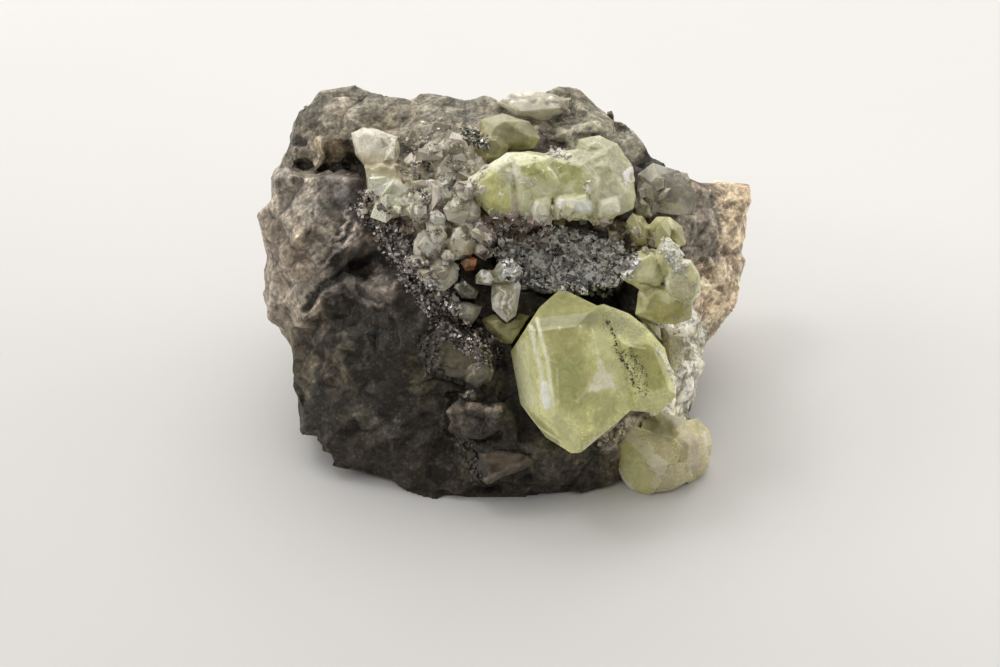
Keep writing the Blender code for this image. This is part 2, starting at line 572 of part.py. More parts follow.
# Colour, roughness and see-through share of each node's material
FINISHES = {
    "matrix": ((0.10, 0.09, 0.085), 0.8, 0.0),
    "vug_crust": ((0.06, 0.055, 0.06), 0.45, 0.0),
    "main_crystal": ((0.62, 0.66, 0.30), 0.15, 0.8),
    "upper_crystal": ((0.68, 0.70, 0.36), 0.15, 0.7),
    "right_crystal": ((0.55, 0.58, 0.30), 0.2, 0.6),
    "right_upper_crystal": ((0.30, 0.32, 0.20), 0.2, 0.6),
    "lower_right_crystal": ((0.55, 0.52, 0.34), 0.3, 0.4),
    "milky_crystal": ((0.75, 0.72, 0.58), 0.3, 0.3),
    "back_crystal": ((0.35, 0.35, 0.26), 0.4, 0.4),
    "white_crystal": ((0.80, 0.76, 0.68), 0.4, 0.2),
    "pale_crystal": ((0.66, 0.66, 0.42), 0.25, 0.5),
    "side_crystal": ((0.58, 0.55, 0.48), 0.35, 0.3),
    "quartz_cluster": ((0.62, 0.60, 0.52), 0.1, 0.8),
    "upper_grey_quartz": ((0.36, 0.34, 0.31), 0.2, 0.5),
    "grey_quartz_left": ((0.26, 0.27, 0.27), 0.15, 0.5),
    "grey_quartz_low": ((0.26, 0.27, 0.27), 0.15, 0.5),
    "small_quartz": ((0.62, 0.63, 0.58), 0.1, 0.8),
    "smoky_quartz": ((0.28, 0.26, 0.20), 0.1, 0.7),
    "olive_crystal": ((0.22, 0.21, 0.10), 0.3, 0.4),
    "brown_quartz": ((0.30, 0.24, 0.20), 0.2, 0.5),
    "orange_crystal": ((0.62, 0.22, 0.10), 0.3, 0.3),
    "right_druse": ((0.42, 0.41, 0.37), 0.2, 0.6),
}


def discard(*objects):
    for spent in objects:
        bpy.data.objects.remove(spent)


def settled(made):
    """Applies an object's modifiers, so that its mesh is the evaluated one."""
    graph = bpy.context.evaluated_depsgraph_get()
    shape = bpy.data.meshes.new_from_object(made.evaluated_get(graph))
    made.modifiers.clear()
    made.data = shape
    return made


def boolean(made, other, operation):
    """Joins other to made, or cuts it from made, and discards other."""
    step = made.modifiers.new(operation.title(), "BOOLEAN")
    step.operation = operation
    step.solver = "EXACT"
    step.object = other
    settled(made)
    discard(other)
    return made


def largest_body(made):
    """Drops loose crumbs that a cut leaves, and keeps the largest connected body."""
    bm = bmesh.new()
    bm.from_mesh(made.data)
    left, bodies = set(bm.verts), []
    while left:
        stack, body = [left.pop()], set()
        while stack:
            vertex = stack.pop()
            body.add(vertex)
            for edge in vertex.link_edges:
                other = edge.other_vert(vertex)
                if other in left:
                    left.discard(other)
                    stack.append(other)
        bodies.append(body)
    bodies.sort(key=len)
    crumbs = [v for body in bodies[:-1] for v in body]
    bmesh.ops.delete(bm, geom=crumbs, context="VERTS")
    bm.to_mesh(made.data)
    bm.free()
    return made


def grown_together(name, solids, grow=0.0):
    """One object from crystals that overlap, each swollen by grow."""
    made = mesh_object(name, solids[0](grow))
    for k, solid in enumerate(solids[1:]):
        boolean(made, mesh_object(f"{name}_{k}", solid(grow)), "UNION")
    return made


def near(first, second, margin=0.5):
    """Whether two lists of corner points come this close, in mm, by their boxes."""
    for axis in range(3):
        a, b = [p[axis] for p in first], [p[axis] for p in second]
        if min(a) - margin * MM > max(b) or min(b) - margin * MM > max(a):
            return False
    return True


def corners(made):
    return [v.co.copy() for v in made.data.vertices]


def chunk(points):
    bm = bmesh.new()
    for point in points:
        bm.verts.new(Vector(point) * MM)
    hull = bmesh.ops.convex_hull(bm, input=bm.verts[:])
    inside = [v for v in hull["geom_interior"] if isinstance(v, bmesh.types.BMVert)]
    bmesh.ops.delete(bm, geom=inside, context="VERTS")
    return bm


def hollow_cutter(outline, front, back, narrowing=0.72):
    """A pocket's cutter: its outline at the front, drawn in towards its middle at the back."""
    middle = Vector((sum(p[0] for p in outline), sum(p[1] for p in outline))) / len(outline)
    points = [(u, v, front) for u, v in outline]
    for u, v in outline:
        inner = middle + (Vector((u, v)) - middle) * narrowing
        points.append((inner.x, inner.y, back))
    return chunk(points)


def fracture(point, size, slope):
    """Height of broken rock: each patch of this size is a plane with its own tilt."""
    _, features = noise.voronoi(point / size)
    centre = features[0]
    tilt = noise.noise_vector(centre * 3.7 + Vector((11.3, 4.1, 7.9)))
    return slope * size * tilt.dot(point / size - centre) * 2.0


def crack_depth(point):
    """How far the rock is scored at this point of the display face."""
    deepest = 0.0
    here = Vector((point.x, point.y))
    for line, width, depth in CRACKS:
        for start, end in zip(line, line[1:]):
            a, b = Vector(start), Vector(end)
            share = max(0.0, min(1.0, (here - a).dot(b - a) / (b - a).length_squared))
            away = (here - a.lerp(b, share)).length
            deepest = max(deepest, depth * max(0.0, 1.0 - away / width))
    return deepest if point.z > CRACK_FLOOR else 0.0


def rock_body():
    """The matrix before its crystals' sockets: broken chunks in one mass, with relief."""
    rock = mesh_object("matrix", chunk(CHUNKS[0]))
    for k, points in enumerate(CHUNKS[1:]):
        boolean(rock, mesh_object(f"chunk_{k}", chunk(points)), "UNION")
    for k, (outline, front, back) in enumerate(HOLLOWS):
        boolean(rock, mesh_object(f"hollow_{k}", hollow_cutter(outline, front, back)), "DIFFERENCE")
    voxels = rock.modifiers.new("Voxels", "REMESH")
    voxels.mode = "VOXEL"
    voxels.voxel_size = ROCK_VOXEL * MM
    settled(rock)
    mesh = rock.data
    moved = []
    for vertex in mesh.vertices:
        point = vertex.co / MM
        rise = SWELL[1] * noise.fractal(point / SWELL[0], 1.0, 2.0, 3)
        rise += fracture(point, *RELIEF_LARGE) + fracture(point + Vector((40, 0, 0)), *RELIEF_SMALL)
        moved.append(vertex.co + vertex.normal * (rise - crack_depth(point)) * MM)
    for vertex, place in zip(mesh.vertices, moved):
        vertex.co = place
    fewer = rock.modifiers.new("Fewer", "DECIMATE")
    fewer.ratio = min(1.0, ROCK_TRIANGLES / (2 * len(mesh.polygons)))
    return settled(rock)


def ground_cut(made):
    """Cuts an object flat where it meets the ground."""
    bm = bmesh.new()
    bm.from_mesh(made.data)
    to_face = made.matrix_world.inverted()
    level = to_face @ Vector((0, 0, 0))
    down = (to_face.to_3x3() @ Vector((0, 0, -1))).normalized()
    cut = bmesh.ops.bisect_plane(
        bm, geom=bm.verts[:] + bm.edges[:] + bm.faces[:], dist=1e-7,
        plane_co=level, plane_no=down, clear_outer=True,
    )
    rim = [e for e in cut["geom_cut"] if isinstance(e, bmesh.types.BMEdge)]
    if rim:
        bmesh.ops.holes_fill(bm, edges=rim, sides=0)
    bmesh.ops.triangulate(bm, faces=bm.faces)
    bm.to_mesh(made.data)
    bm.free()
    return made


# The vug's lining: a patch across and up, with the height of its middle and its rim. Its outline
# is rounded and wanders. Its face is pricked with points, at this spacing and up to this height.
CRUST = {"across": (-1.0, 12.4), "up": (3.2, 9.8), "step": 0.68, "thick": 1.1, "floor": -4.2}
CRUST_BOWL = (2.9, 3.0)  # rise of the rim over the floor, and the power it rises by
CRUST_ROUNDING = 0.36
CRUST_WANDER = (2.6, 0.75)  # size and depth of the outline's bays
CRUST_POINTS = (1.05, 0.62, 0.95)  # spacing, reach and height


def crust_place(s, t, grow):
    """A point of the crust's face, from its place in the patch, -1 to 1 each way."""
    (left, right), (low, high) = CRUST["across"], CRUST["up"]
    wide = (right - left) / 2 + grow
    tall = (high - low) / 2 + grow
    u = s * math.sqrt(1 - CRUST_ROUNDING * t * t) * wide + (left + right) / 2
    v = t * math.sqrt(1 - CRUST_ROUNDING * s * s) * tall + (low + high) / 2
    edge = max(abs(s), abs(t))
    size, depth = CRUST_WANDER
    bay = depth * edge**4 * (noise.noise(Vector((u, v, 5.0)) / size) - 0.5)
    u += bay * s
    v += bay * t
    rise, power = CRUST_BOWL
    w = CRUST["floor"] + rise * edge**power
    if edge < 1:
        spacing, reach, height = CRUST_POINTS
        distances, _ = noise.voronoi(Vector((u, v, 0)) / spacing)
        w += height * max(0.0, reach - distances[0])
    return Vector((u, v, w + grow))


def vug_crust(grow=0.0):
    """The small dark crystals that line the vug, as one crust with a pointed face."""
    (left, right), (low, high) = CRUST["across"], CRUST["up"]
    columns = round((right - left) / CRUST["step"])
    rows = round((high - low) / CRUST["step"])
    under = Vector((0, 0, CRUST["thick"] + 2 * grow))
    bm = bmesh.new()
    top, bottom = [], []
    for j in range(rows + 1):
        front, back = [], []
        for i in range(columns + 1):
            place = crust_place(2 * i / columns - 1, 2 * j / rows - 1, grow)
            front.append(bm.verts.new(place * MM))
            back.append(bm.verts.new((place - under) * MM))
        top.append(front)
        bottom.append(back)
    for j in range(rows):
        for i in range(columns):
            bm.faces.new((top[j][i], top[j][i + 1], top[j + 1][i + 1], top[j + 1][i]))
            bm.faces.new((bottom[j][i], bottom[j + 1][i], bottom[j + 1][i + 1], bottom[j][i + 1]))
    edge = [(0, i) for i in range(columns)] + [(j, columns) for j in range(rows)]
    edge += [(rows, i) for i in range(columns, 0, -1)] + [(j, 0) for j in range(rows, 0, -1)]
    for (j, i), (m, n) in zip(edge, edge[1:] + edge[:1]):
        bm.faces.new((top[j][i], bottom[j][i], bottom[m][n], top[m][n]))
    return mesh_object("vug_crust", bm)


def finish_of(name):
    colour, roughness, clear = FINISHES[name]
    made = bpy.data.materials.new(name)
    made.use_nodes = True
    shader = made.node_tree.nodes["Principled BSDF"]
    shader.inputs["Base Color"].default_value = (*colour, 1.0)
    shader.inputs["Roughness"].default_value = roughness
    shader.inputs["Metallic"].default_value = 0.0
    shader.inputs["Transmission Weight"].default_value = clear
    return made


def main():
    for old in list(bpy.data.objects):
        bpy.data.objects.remove(old)
    noise.seed_set(NOISE_SEED)
    nodes = {}
    sockets = {}
    for name, solids in CRYSTALS.items():
        made = grown_together(name, solids)
        for other, socket in sockets.items():
            if near(corners(made), corners(socket)):
                cutter = socket.copy()
                cutter.data = socket.data.copy()
                bpy.context.scene.collection.objects.link(cutter)
                boolean(made, cutter, "DIFFERENCE")
        nodes[name] = largest_body(made)
        sockets[name] = grown_together(f"{name}_socket", solids, GAP)
    crust = vug_crust()
    for socket in sockets.values():
        if near(corners(crust), corners(socket)):
            cutter = socket.copy()
            bpy.context.scene.collection.objects.link(cutter)
            boolean(crust, cutter, "DIFFERENCE")
    nodes["vug_crust"] = largest_body(crust)
    rock = rock_body()
    for socket in [*sockets.values(), vug_crust(GAP)]:
        boolean(rock, socket, "DIFFERENCE")
    nodes["matrix"] = largest_body(ground_cut(rock))
    for name, made in nodes.items():
        if name != "matrix":
            ground_cut(made)
        made.data.materials.clear()
        made.data.materials.append(finish_of(name))


main()
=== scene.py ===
"""The looks of the sphalerite specimen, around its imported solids.

Positions are laid out on the display face of the specimen, in millimetres: across is +X, up
climbs the leaning face, out points away from the rock. Marks and beds of small crystals are
placed by (across, up) as they line up from in front of that face. A path is a row of such
places: across, up, across, up and so on. Tints of points and faces are percents of red, green
and blue; colours in materials and of lamps go from 0 to 1.
"""

import math
from typing import NamedTuple
import bmesh  # noqa: E402
import bpy  # noqa: E402
import numpy as np  # noqa: E402
from mathutils import Matrix, Vector  # noqa: E402
from mathutils.bvhtree import BVHTree  # noqa: E402


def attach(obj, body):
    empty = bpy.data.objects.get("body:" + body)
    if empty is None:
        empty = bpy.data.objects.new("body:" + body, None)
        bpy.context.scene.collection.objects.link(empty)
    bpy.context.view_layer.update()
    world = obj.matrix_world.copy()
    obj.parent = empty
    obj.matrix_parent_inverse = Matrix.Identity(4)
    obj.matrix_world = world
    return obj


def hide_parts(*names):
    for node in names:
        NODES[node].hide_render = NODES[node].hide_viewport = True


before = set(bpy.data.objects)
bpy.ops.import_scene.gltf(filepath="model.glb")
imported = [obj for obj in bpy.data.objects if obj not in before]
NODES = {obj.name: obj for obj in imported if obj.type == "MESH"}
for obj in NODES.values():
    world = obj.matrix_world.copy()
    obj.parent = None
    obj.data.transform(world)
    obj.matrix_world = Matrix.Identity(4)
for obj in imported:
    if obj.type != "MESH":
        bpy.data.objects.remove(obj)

MM = 0.001

# The display face, as the solids have it
FACE_LEAN = math.radians(40.0)
FACE_FRAME = Matrix.Translation((0, -8.0 * MM, 16.3 * MM)) @ Matrix.Rotation(
    math.pi / 2 - FACE_LEAN, 4, "X"
)
TO_FACE = np.array(FACE_FRAME.inverted())
FROM_FACE = np.array(FACE_FRAME)
FACE_OUT = FROM_FACE[:3, 2]

VIEW_DISTANCE = 350.0  # from the display face to the camera
FAR = 99.0  # farther than any two places of the specimen
WELD = 2e-6  # corners this near are one, in metres

# ---------------------------------------------------------------- places and noise


def on_face(points):
    """World points, in metres, as (across, up, out) in millimetres."""
    return (points @ TO_FACE[:3, :3].T + TO_FACE[:3, 3]) / MM


def from_face(points):
    """(across, up, out) in millimetres, as world points in metres."""
    return np.asarray(points) * MM @ FROM_FACE[:3, :3].T + FROM_FACE[:3, 3]


def from_front(face):
    """(across, up) where points of the display face line up from in front of it."""
    return face[:, :2] * (VIEW_DISTANCE / (VIEW_DISTANCE - face[:, 2]))[:, None]


def smooth(low, high, value):
    share = np.clip((value - low) / (high - low), 0.0, 1.0)
    return share * share * (3 - 2 * share)


def blend(first, second, share):
    """Rows of the first moved to the second by each row's share."""
    return first + (np.asarray(second) - first) * share[:, None]


def hashed(cells, seed, count):
    """Numbers from 0 to 1, count of them for each whole-number place."""
    whole = cells.astype(np.int64).astype(np.uint64)
    key = whole[..., 0] * np.uint64(374761393) + whole[..., 1] * np.uint64(668265263)
    key += whole[..., 2] * np.uint64(2147483647) + np.uint64(seed * 1274126177)
    low = np.uint64(0xFFFFFFFF)
    values = []
    for k in range(count):
        mixed = (key + np.uint64(k * 362437)) & low
        mixed = ((mixed ^ (mixed >> np.uint64(15))) * np.uint64(2246822519)) & low
        mixed = ((mixed ^ (mixed >> np.uint64(13))) * np.uint64(3266489917)) & low
        values.append((mixed ^ (mixed >> np.uint64(16))) / 2.0**32)
    return np.stack(values, -1)


def noises(points, size, seed, octaves=3):
    """Smooth noise from about -1 to 1 at points in millimetres, with features of this size."""
    total, weight = np.zeros(len(points)), 1.0
    for octave in range(octaves):
        place = points * (2**octave / size) + seed * 3.17
        cell = np.floor(place)
        part = place - cell
        part = part * part * (3 - 2 * part)
        value = np.zeros(len(points))
        for corner in np.ndindex(2, 2, 2):
            share = np.prod(np.where(corner, part, 1 - part), axis=1)
            value += share * hashed(cell + corner, seed + 31 * octave, 1)[:, 0]
        total += weight * (2 * value - 1)
        weight *= 0.5
    return total


def fracture(points, size, seed, tilt, hollow):
    """Broken surface: hollow facets about this size, each with its own tilt and sharp ridges
    between them. Gives each point's height in millimetres above the middle one, its facet's own
    number, and how far it is above the ridge line, in millimetres."""
    place = points / size
    home = np.floor(place)
    lowest, second = np.full((2, len(points)), FAR)
    own = np.zeros(len(points))
    for step in np.ndindex(3, 3, 3):
        cell = home + np.array(step) - 1
        chance = hashed(cell, seed, 7)
        away = place - cell - chance[:, :3]
        lean = (chance[:, 3:6] * 2 - 1) * tilt
        height = (lean * away).sum(1) + hollow * (away * away).sum(1)
        lower = height < lowest
        second = np.where(lower, lowest, np.minimum(second, height))
        lowest = np.where(lower, height, lowest)
        own = np.where(lower, chance[:, 6], own)
    return (lowest - np.median(lowest)) * size, own, (second - lowest) * size


def path_points(path):
    """The (across, up) points of a path."""
    return np.reshape(path, (-1, 2)).astype(float)


def path_distance(places, path):
    """Distance of (across, up) places from a path."""
    corners = path_points(path)
    nearest = np.full(len(places), FAR)
    for start, end in zip(corners, corners[1:] if len(corners) > 1 else corners):
        run = end - start
        share = np.clip(((places - start) @ run) / max(run @ run, 1e-9), 0, 1)
        away = np.linalg.norm(places - (start + share[:, None] * run), axis=1)
        nearest = np.minimum(nearest, away)
    return nearest


# ---------------------------------------------------------------- meshes


def triples(items, name):
    """Three numbers of each item of a mesh, as rows."""
    flat = np.empty(len(items) * 3, np.float32)
    items.foreach_get(name, flat)
    return flat.reshape(-1, 3).astype(float)


def points_and_out(mesh):
    """The points of a mesh, and which way is out at each."""
    return triples(mesh.vertices, "co"), triples(mesh.vertex_normals, "vector")


def set_points(mesh, points):
    mesh.vertices.foreach_set("co", np.asarray(points, np.float32).ravel())
    mesh.update()


def raise_points(mesh, points, out, rise):
    """Move points out by their rise in millimetres, and none of them into the ground."""
    points = points + out * rise[:, None] * MM
    points[:, 2] = np.maximum(points[:, 2], 0.0)
    set_points(mesh, points)


def edge_ends(mesh):
    """The points at the first ends of the edges, and those at the second ends."""
    ends = np.empty(len(mesh.edges) * 2, np.int32)
    mesh.edges.foreach_get("vertices", ends)
    return ends.reshape(-1, 2).T


def spread(mesh, values, known, rounds=12):
    """Values carried from the points that have one to the points about them that have none."""
    first, second = edge_ends(mesh)
    count = np.bincount(first, minlength=len(values)) + np.bincount(second, minlength=len(values))
    for _ in range(rounds):
        total = np.bincount(first, values[second], len(values))
        total += np.bincount(second, values[first], len(values))
        values = np.where(known, values, total / np.maximum(count, 1))
    return values


def sharpness(mesh):
    """How far each point stands out from its neighbours: over 0 on ridges, under 0 in creases."""
    points, out = points_and_out(mesh)
    first, second = edge_ends(mesh)
    total, count = np.zeros(len(points)), np.full(len(points), 1e-9)
    for here, there in ((first, second), (second, first)):
        run = points[there] - points[here]
        drop = -(run * out[here]).sum(1) / np.linalg.norm(run, axis=1)
        total += np.bincount(here, drop, len(points))
        count += np.bincount(here, minlength=len(points))
    return total / count


def set_tints(mesh, tints, domain="POINT"):
    """Give a mesh its tints, which are in percent."""
    full = np.ones((len(tints), 4), np.float32)
    full[:, :3] = np.clip(tints / 100, 0.0, 1.0)
    mesh.attributes.new("tint", "FLOAT_COLOR", domain).data.foreach_set("color", full.ravel())


def dressed_object(mesh, name, material, slot, *replaced):
    """A new piece that rides on the specimen, in place of these solids."""
    made = bpy.data.objects.new(name, mesh)
    bpy.context.scene.collection.objects.link(made)
    mesh.materials.clear()
    mesh.materials.append(material)
    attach(made, "root")
    if replaced:
        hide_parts(*replaced)
    return made


def painted_object(mesh, tints, values, sharp, *dress):
    """A new piece with a tint and values at its points, and edges sharp from so many degrees."""
    set_tints(mesh, tints)
    for name, value in values.items():
        made = mesh.attributes.new(name, "FLOAT", "POINT")
        made.data.foreach_set("value", np.asarray(value, np.float32))
    mesh.shade_smooth()
    mesh.set_sharp_from_angle(angle=math.radians(sharp))
    return dressed_object(mesh, *dress)


def welded_copy(source):
    """A bmesh of a solid, with its split corners joined."""
    bm = bmesh.new()
    bm.from_mesh(source.data)
    bmesh.ops.remove_doubles(bm, verts=bm.verts, dist=WELD)
    return bm


def mesh_from(bm):
    """A mesh made from a bmesh, which it uses up."""
    mesh = bpy.data.meshes.new("work")
    bm.to_mesh(mesh)
    bm.free()
    return mesh


def modified(mesh, kind, **settings):
    """What one modifier makes of a mesh, which it uses up."""
    work = bpy.data.objects.new("work", mesh)
    bpy.context.scene.collection.objects.link(work)
    step = work.modifiers.new("step", kind)
    for key, value in settings.items():
        setattr(step, key, value)
    graph = bpy.context.evaluated_depsgraph_get()
    result = bpy.data.meshes.new_from_object(work.evaluated_get(graph))
    bpy.data.objects.remove(work)
    bpy.data.meshes.remove(mesh)
    return result


def remeshed(name, voxel):
    """The mesh of a solid, rebuilt from even quads this long, in millimetres."""
    mesh = mesh_from(welded_copy(NODES[name]))
    return modified(mesh, "REMESH", mode="VOXEL", voxel_size=voxel * MM)


def tree_of(meshes):
    """One search tree over these meshes, and the number of the mesh of each of its faces."""
    points, faces, owner = [], [], []
    for k, mesh in enumerate(meshes):
        start = len(points)
        points += triples(mesh.vertices, "co").tolist()
        mesh.calc_loop_triangles()
        corners = np.empty(len(mesh.loop_triangles) * 3, np.int32)
        mesh.loop_triangles.foreach_get("vertices", corners)
        faces += (corners.reshape(-1, 3) + start).tolist()
        owner += [k] * len(mesh.loop_triangles)
    return BVHTree.FromPolygons(points, faces, all_triangles=True), owner


# ---------------------------------------------------------------- materials


def fill(tree, node, inputs):
    """Set inputs of a node to values, or to outputs of other nodes."""
    for key, value in inputs.items():
        if isinstance(value, bpy.types.NodeSocket):
            tree.links.new(value, node.inputs[key])
        else:
            node.inputs[key].default_value = value


def add_node(tree, kind, inputs, output=0, **settings):
    """A new node in a tree. Gives one of its outputs."""
    made = tree.nodes.new(kind)
    for key, value in settings.items():
        setattr(made, key, value)
    fill(tree, made, inputs)
    return made.outputs[output]


class Shader:
    """A material's node tree, built by short calls. Its texture places are in millimetres."""

    def __init__(self, name):
        self.material = bpy.data.materials.new(name)
        self.material.use_nodes = True
        self.tree = self.material.node_tree
        place = self.node("ShaderNodeTexCoord", {}, "Object")
        self.place = self.vector("SCALE", place, Scale=1 / MM)

    def surfaced(self, **values):
        """The material, with these inputs of its surface set. _ stands for a space."""
        inputs = {key.replace("_", " "): value for key, value in values.items()}
        fill(self.tree, self.tree.nodes["Principled BSDF"], inputs)
        return self.material

    def node(self, kind, inputs, output=0, **settings):
        return add_node(self.tree, kind, inputs, output, **settings)

    def vector(self, operation, *values, **named):
        return self.node("ShaderNodeVectorMath", {**dict(enumerate(values)), **named},
                         operation=operation)

    def math(self, operation, first, second):
        return self.node("ShaderNodeMath", {0: first, 1: second}, operation=operation)

    def attribute(self, name, output="Fac"):
        return self.node("ShaderNodeAttribute", {}, output, attribute_name=name)

    def noise(self, size, detail=3.0, roughness=0.55, distortion=0.0):
        return self.node(
            "ShaderNodeTexNoise",
            {"Vector": self.place, "Scale": 1 / size, "Detail": detail,
             "Roughness": roughness, "Distortion": distortion},
        )

    def cells(self, size, output="Distance", wander=0.3, **settings):
        away = self.node("ShaderNodeTexNoise", {"Vector": self.place, "Scale": 1.5 / size}, 1)
        place = self.vector("ADD", self.place, self.vector("SCALE", away, Scale=size * wander))
        inputs = {"Vector": place, "Scale": 1 / size}
        return self.node("ShaderNodeTexVoronoi", inputs, output, **settings)

    def chance(self, size):
        """A number of its own for each cell of this size."""
        return self.node("ShaderNodeSeparateColor", {"Color": self.cells(size, "Color")})

    def ramp(self, value, low, high, start, end):
        return self.node(
            "ShaderNodeMapRange",
            {"Value": value, "From Min": low, "From Max": high, "To Min": start, "To Max": end},
        )

    def mix(self, share, colour, other):
        """A colour moved by a share to another one, which is given as three numbers. The colour
        sockets of this node are its inputs 6 and 7 and its output 2."""
        inputs = {0: share, 6: colour, 7: (*other, 1.0)}
        return self.node("ShaderNodeMix", inputs, 2, data_type="RGBA")

    def vary(self, colour, value, low, high, start, end):
        """A colour times a factor that goes from start to end as the value goes up."""
        return self.vector("SCALE", colour, Scale=self.ramp(value, low, high, start, end))

    def specks(self, size, share):
        """Round specks in this share of cells of this size."""
        near = self.ramp(self.cells(size), 0.42, 0.26, 0.0, 1.0)
        chosen = self.ramp(self.chance(size), share, share * 0.8, 0.0, 1.0)
        return self.math("MULTIPLY", near, chosen)

    def bump(self, height, distance, strength, under=None):
        """A normal made uneven by a height, over the unevenness of another one."""
        inputs = {"Height": height, "Distance": distance * MM, "Strength": strength}
        if under:
            inputs["Normal"] = under
        return self.node("ShaderNodeBump", inputs)

    def glitter(self, size, strength, normal):
        """A normal that leans its own way in each tiny cell, as on a sparkling broken surface."""
        lean = self.vector("SUBTRACT", self.cells(size, "Color"), (0.5, 0.5, 0.5))
        leaning = self.vector("ADD", normal, self.vector("SCALE", lean, Scale=strength))
        return self.vector("NORMALIZE", leaning)


def rock_material():
    """Broken rock: mottled, with small chips that each have a tone and a lean of their own, fine
    grain and light and dark specks."""
    s = Shader("rock")
    mottle = s.noise(1.3, 5.0, 0.6, 0.4)
    fine = s.noise(0.30, 4.0, 0.65)
    colour = s.vary(s.attribute("tint", "Color"), mottle, 0.30, 0.70, 0.72, 1.28)
    colour = s.vary(colour, fine, 0.30, 0.70, 0.72, 1.28)
    colour = s.vary(colour, s.chance(0.85), 0.0, 1.0, 0.70, 1.32)
    colour = s.vary(colour, s.chance(0.36), 0.0, 1.0, 0.72, 1.30)
    speckle = s.attribute("speckle")
    pale = s.math("MULTIPLY", s.specks(0.34, 0.30), speckle)
    colour = s.mix(s.math("MULTIPLY", pale, 0.75), colour, (0.50, 0.45, 0.38))
    black = s.math("MULTIPLY", s.specks(0.42, 0.22), speckle)
    colour = s.mix(s.math("MULTIPLY", black, 0.7), colour, (0.020, 0.018, 0.016))
    # painted shade: near black where the hollow value is high, in the rock's pits and in the vug
    # lining's creases
    colour = s.mix(s.attribute("hollow"), colour, (0.010, 0.009, 0.009))
    roughness = s.ramp(fine, 0.3, 0.7, 0.62, 0.34)
    grain = s.bump(fine, 0.10, 0.9, s.bump(mottle, 0.30, 0.5))
    normal = s.glitter(0.36, 0.40, s.glitter(0.85, 0.55, grain))
    return s.surfaced(Base_Color=colour, Roughness=roughness, Normal=normal,
                      Specular_IOR_Level=0.30)


def crystal_material(name, absorbed, density, bending, grain=0.25):
    """Crystal that light passes by its clear value, and that its frost value makes rough."""
    s = Shader(name)
    cloud = s.noise(0.8, 4.0, 0.6, 0.8)
    fine = s.noise(grain, 4.0, 0.6)
    colour = s.vary(s.attribute("tint", "Color"), cloud, 0.32, 0.68, 0.86, 1.12)
    frost = s.attribute("frost")
    colour = s.vary(colour, fine, 0.32, 0.68, 0.93, 1.07)
    edges = s.cells(1.5, "Distance", 1.6, feature="DISTANCE_TO_EDGE")
    cracks = s.ramp(edges, 0.035, 0.0, 0.0, 1.0)
    cracks = s.math("MULTIPLY", cracks, s.ramp(cloud, 0.45, 0.60, 0.0, 1.0))
    cracks = s.math("MULTIPLY", cracks, s.attribute("veins"))
    colour = s.mix(cracks, colour, (1.0, 0.99, 0.88))
    clear = s.math("MULTIPLY", s.attribute("clear"), s.ramp(cloud, 0.35, 0.75, 1.1, 0.8))
    rough = s.math("ADD", s.math("MULTIPLY", frost, 0.5), s.ramp(fine, 0.3, 0.7, 0.04, 0.12))
    uneven = s.bump(fine, 0.05, s.ramp(frost, 0.0, 1.0, 0.25, 1.0), s.bump(cloud, 0.12, 0.35))
    normal = s.glitter(0.18, s.ramp(frost, 0.55, 0.9, 0.0, 0.12), uneven)
    inside = s.node("ShaderNodeVolumeAbsorption", {"Color": (*absorbed, 1.0), "Density": density})
    fill(s.tree, s.tree.nodes["Material Output"], {"Volume": inside})
    return s.surfaced(
        Base_Color=colour, Transmission_Weight=clear, Roughness=rough, Normal=normal, IOR=bending,
        Subsurface_Weight=0.5, Subsurface_Scale=0.8 * MM, Subsurface_Radius=(1.0, 1.0, 0.5),
    )


def grain_material(name, roughness, clear, bending):
    """Small crystals, each with its own tint."""
    s = Shader(name)
    fine = s.noise(0.20, 2.0)
    colour = s.vary(s.attribute("tint", "Color"), fine, 0.3, 0.7, 0.88, 1.12)
    rough = s.ramp(fine, 0.3, 0.7, roughness * 0.7, roughness * 1.4)
    return s.surfaced(Base_Color=colour, Roughness=rough, IOR=bending, Transmission_Weight=clear)


def floor_material():
    """White paper, with painted shade: a little darker in front of the specimen than behind it."""
    s = Shader("floor")
    toward = s.node("ShaderNodeVectorMath", {0: s.place, 1: FLOOR_BACK}, 1,
                    operation="DOT_PRODUCT")
    # painted shade: the floor darkens toward the front
    tone = s.math("MULTIPLY", s.ramp(toward, -45.0, 45.0, 0.84, 1.0),
                  s.ramp(s.noise(40.0, 2.0), 0.3, 0.7, 0.99, 1.01))
    colour = s.vector("SCALE", FLOOR_COLOUR, Scale=tone)
    return s.surfaced(Base_Color=colour, Roughness=0.9, Specular_IOR_Level=0.2)


# ---------------------------------------------------------------- marks


class Mark(NamedTuple):
    """A stroke or spot seen from in front: its path, its half width, and what it changes."""

    path: tuple
    reach: float
    tint: tuple
    clear: float = 0.3
    frost: float = 0.3
    lift: float = 0.0  # how far it stands out, in millimetres
    ragged: float = 0.15  # how far its edge wanders, in millimetres


def mark_shares(marks, face, facing, seed):
    """How much of each mark every point has, with ragged soft edges, where it is facing out."""
    seen = from_front(face)
    wander = np.stack([noises(face, 0.9, seed), noises(face, 0.9, seed + 7)], 1)
    shares = []
    for mark in marks:
        away = path_distance(seen + wander * mark.ragged, mark.path)
        shares.append((1 - smooth(0.4, 1.25, away / mark.reach)) * facing)
    return shares


# ---------------------------------------------------------------- rock

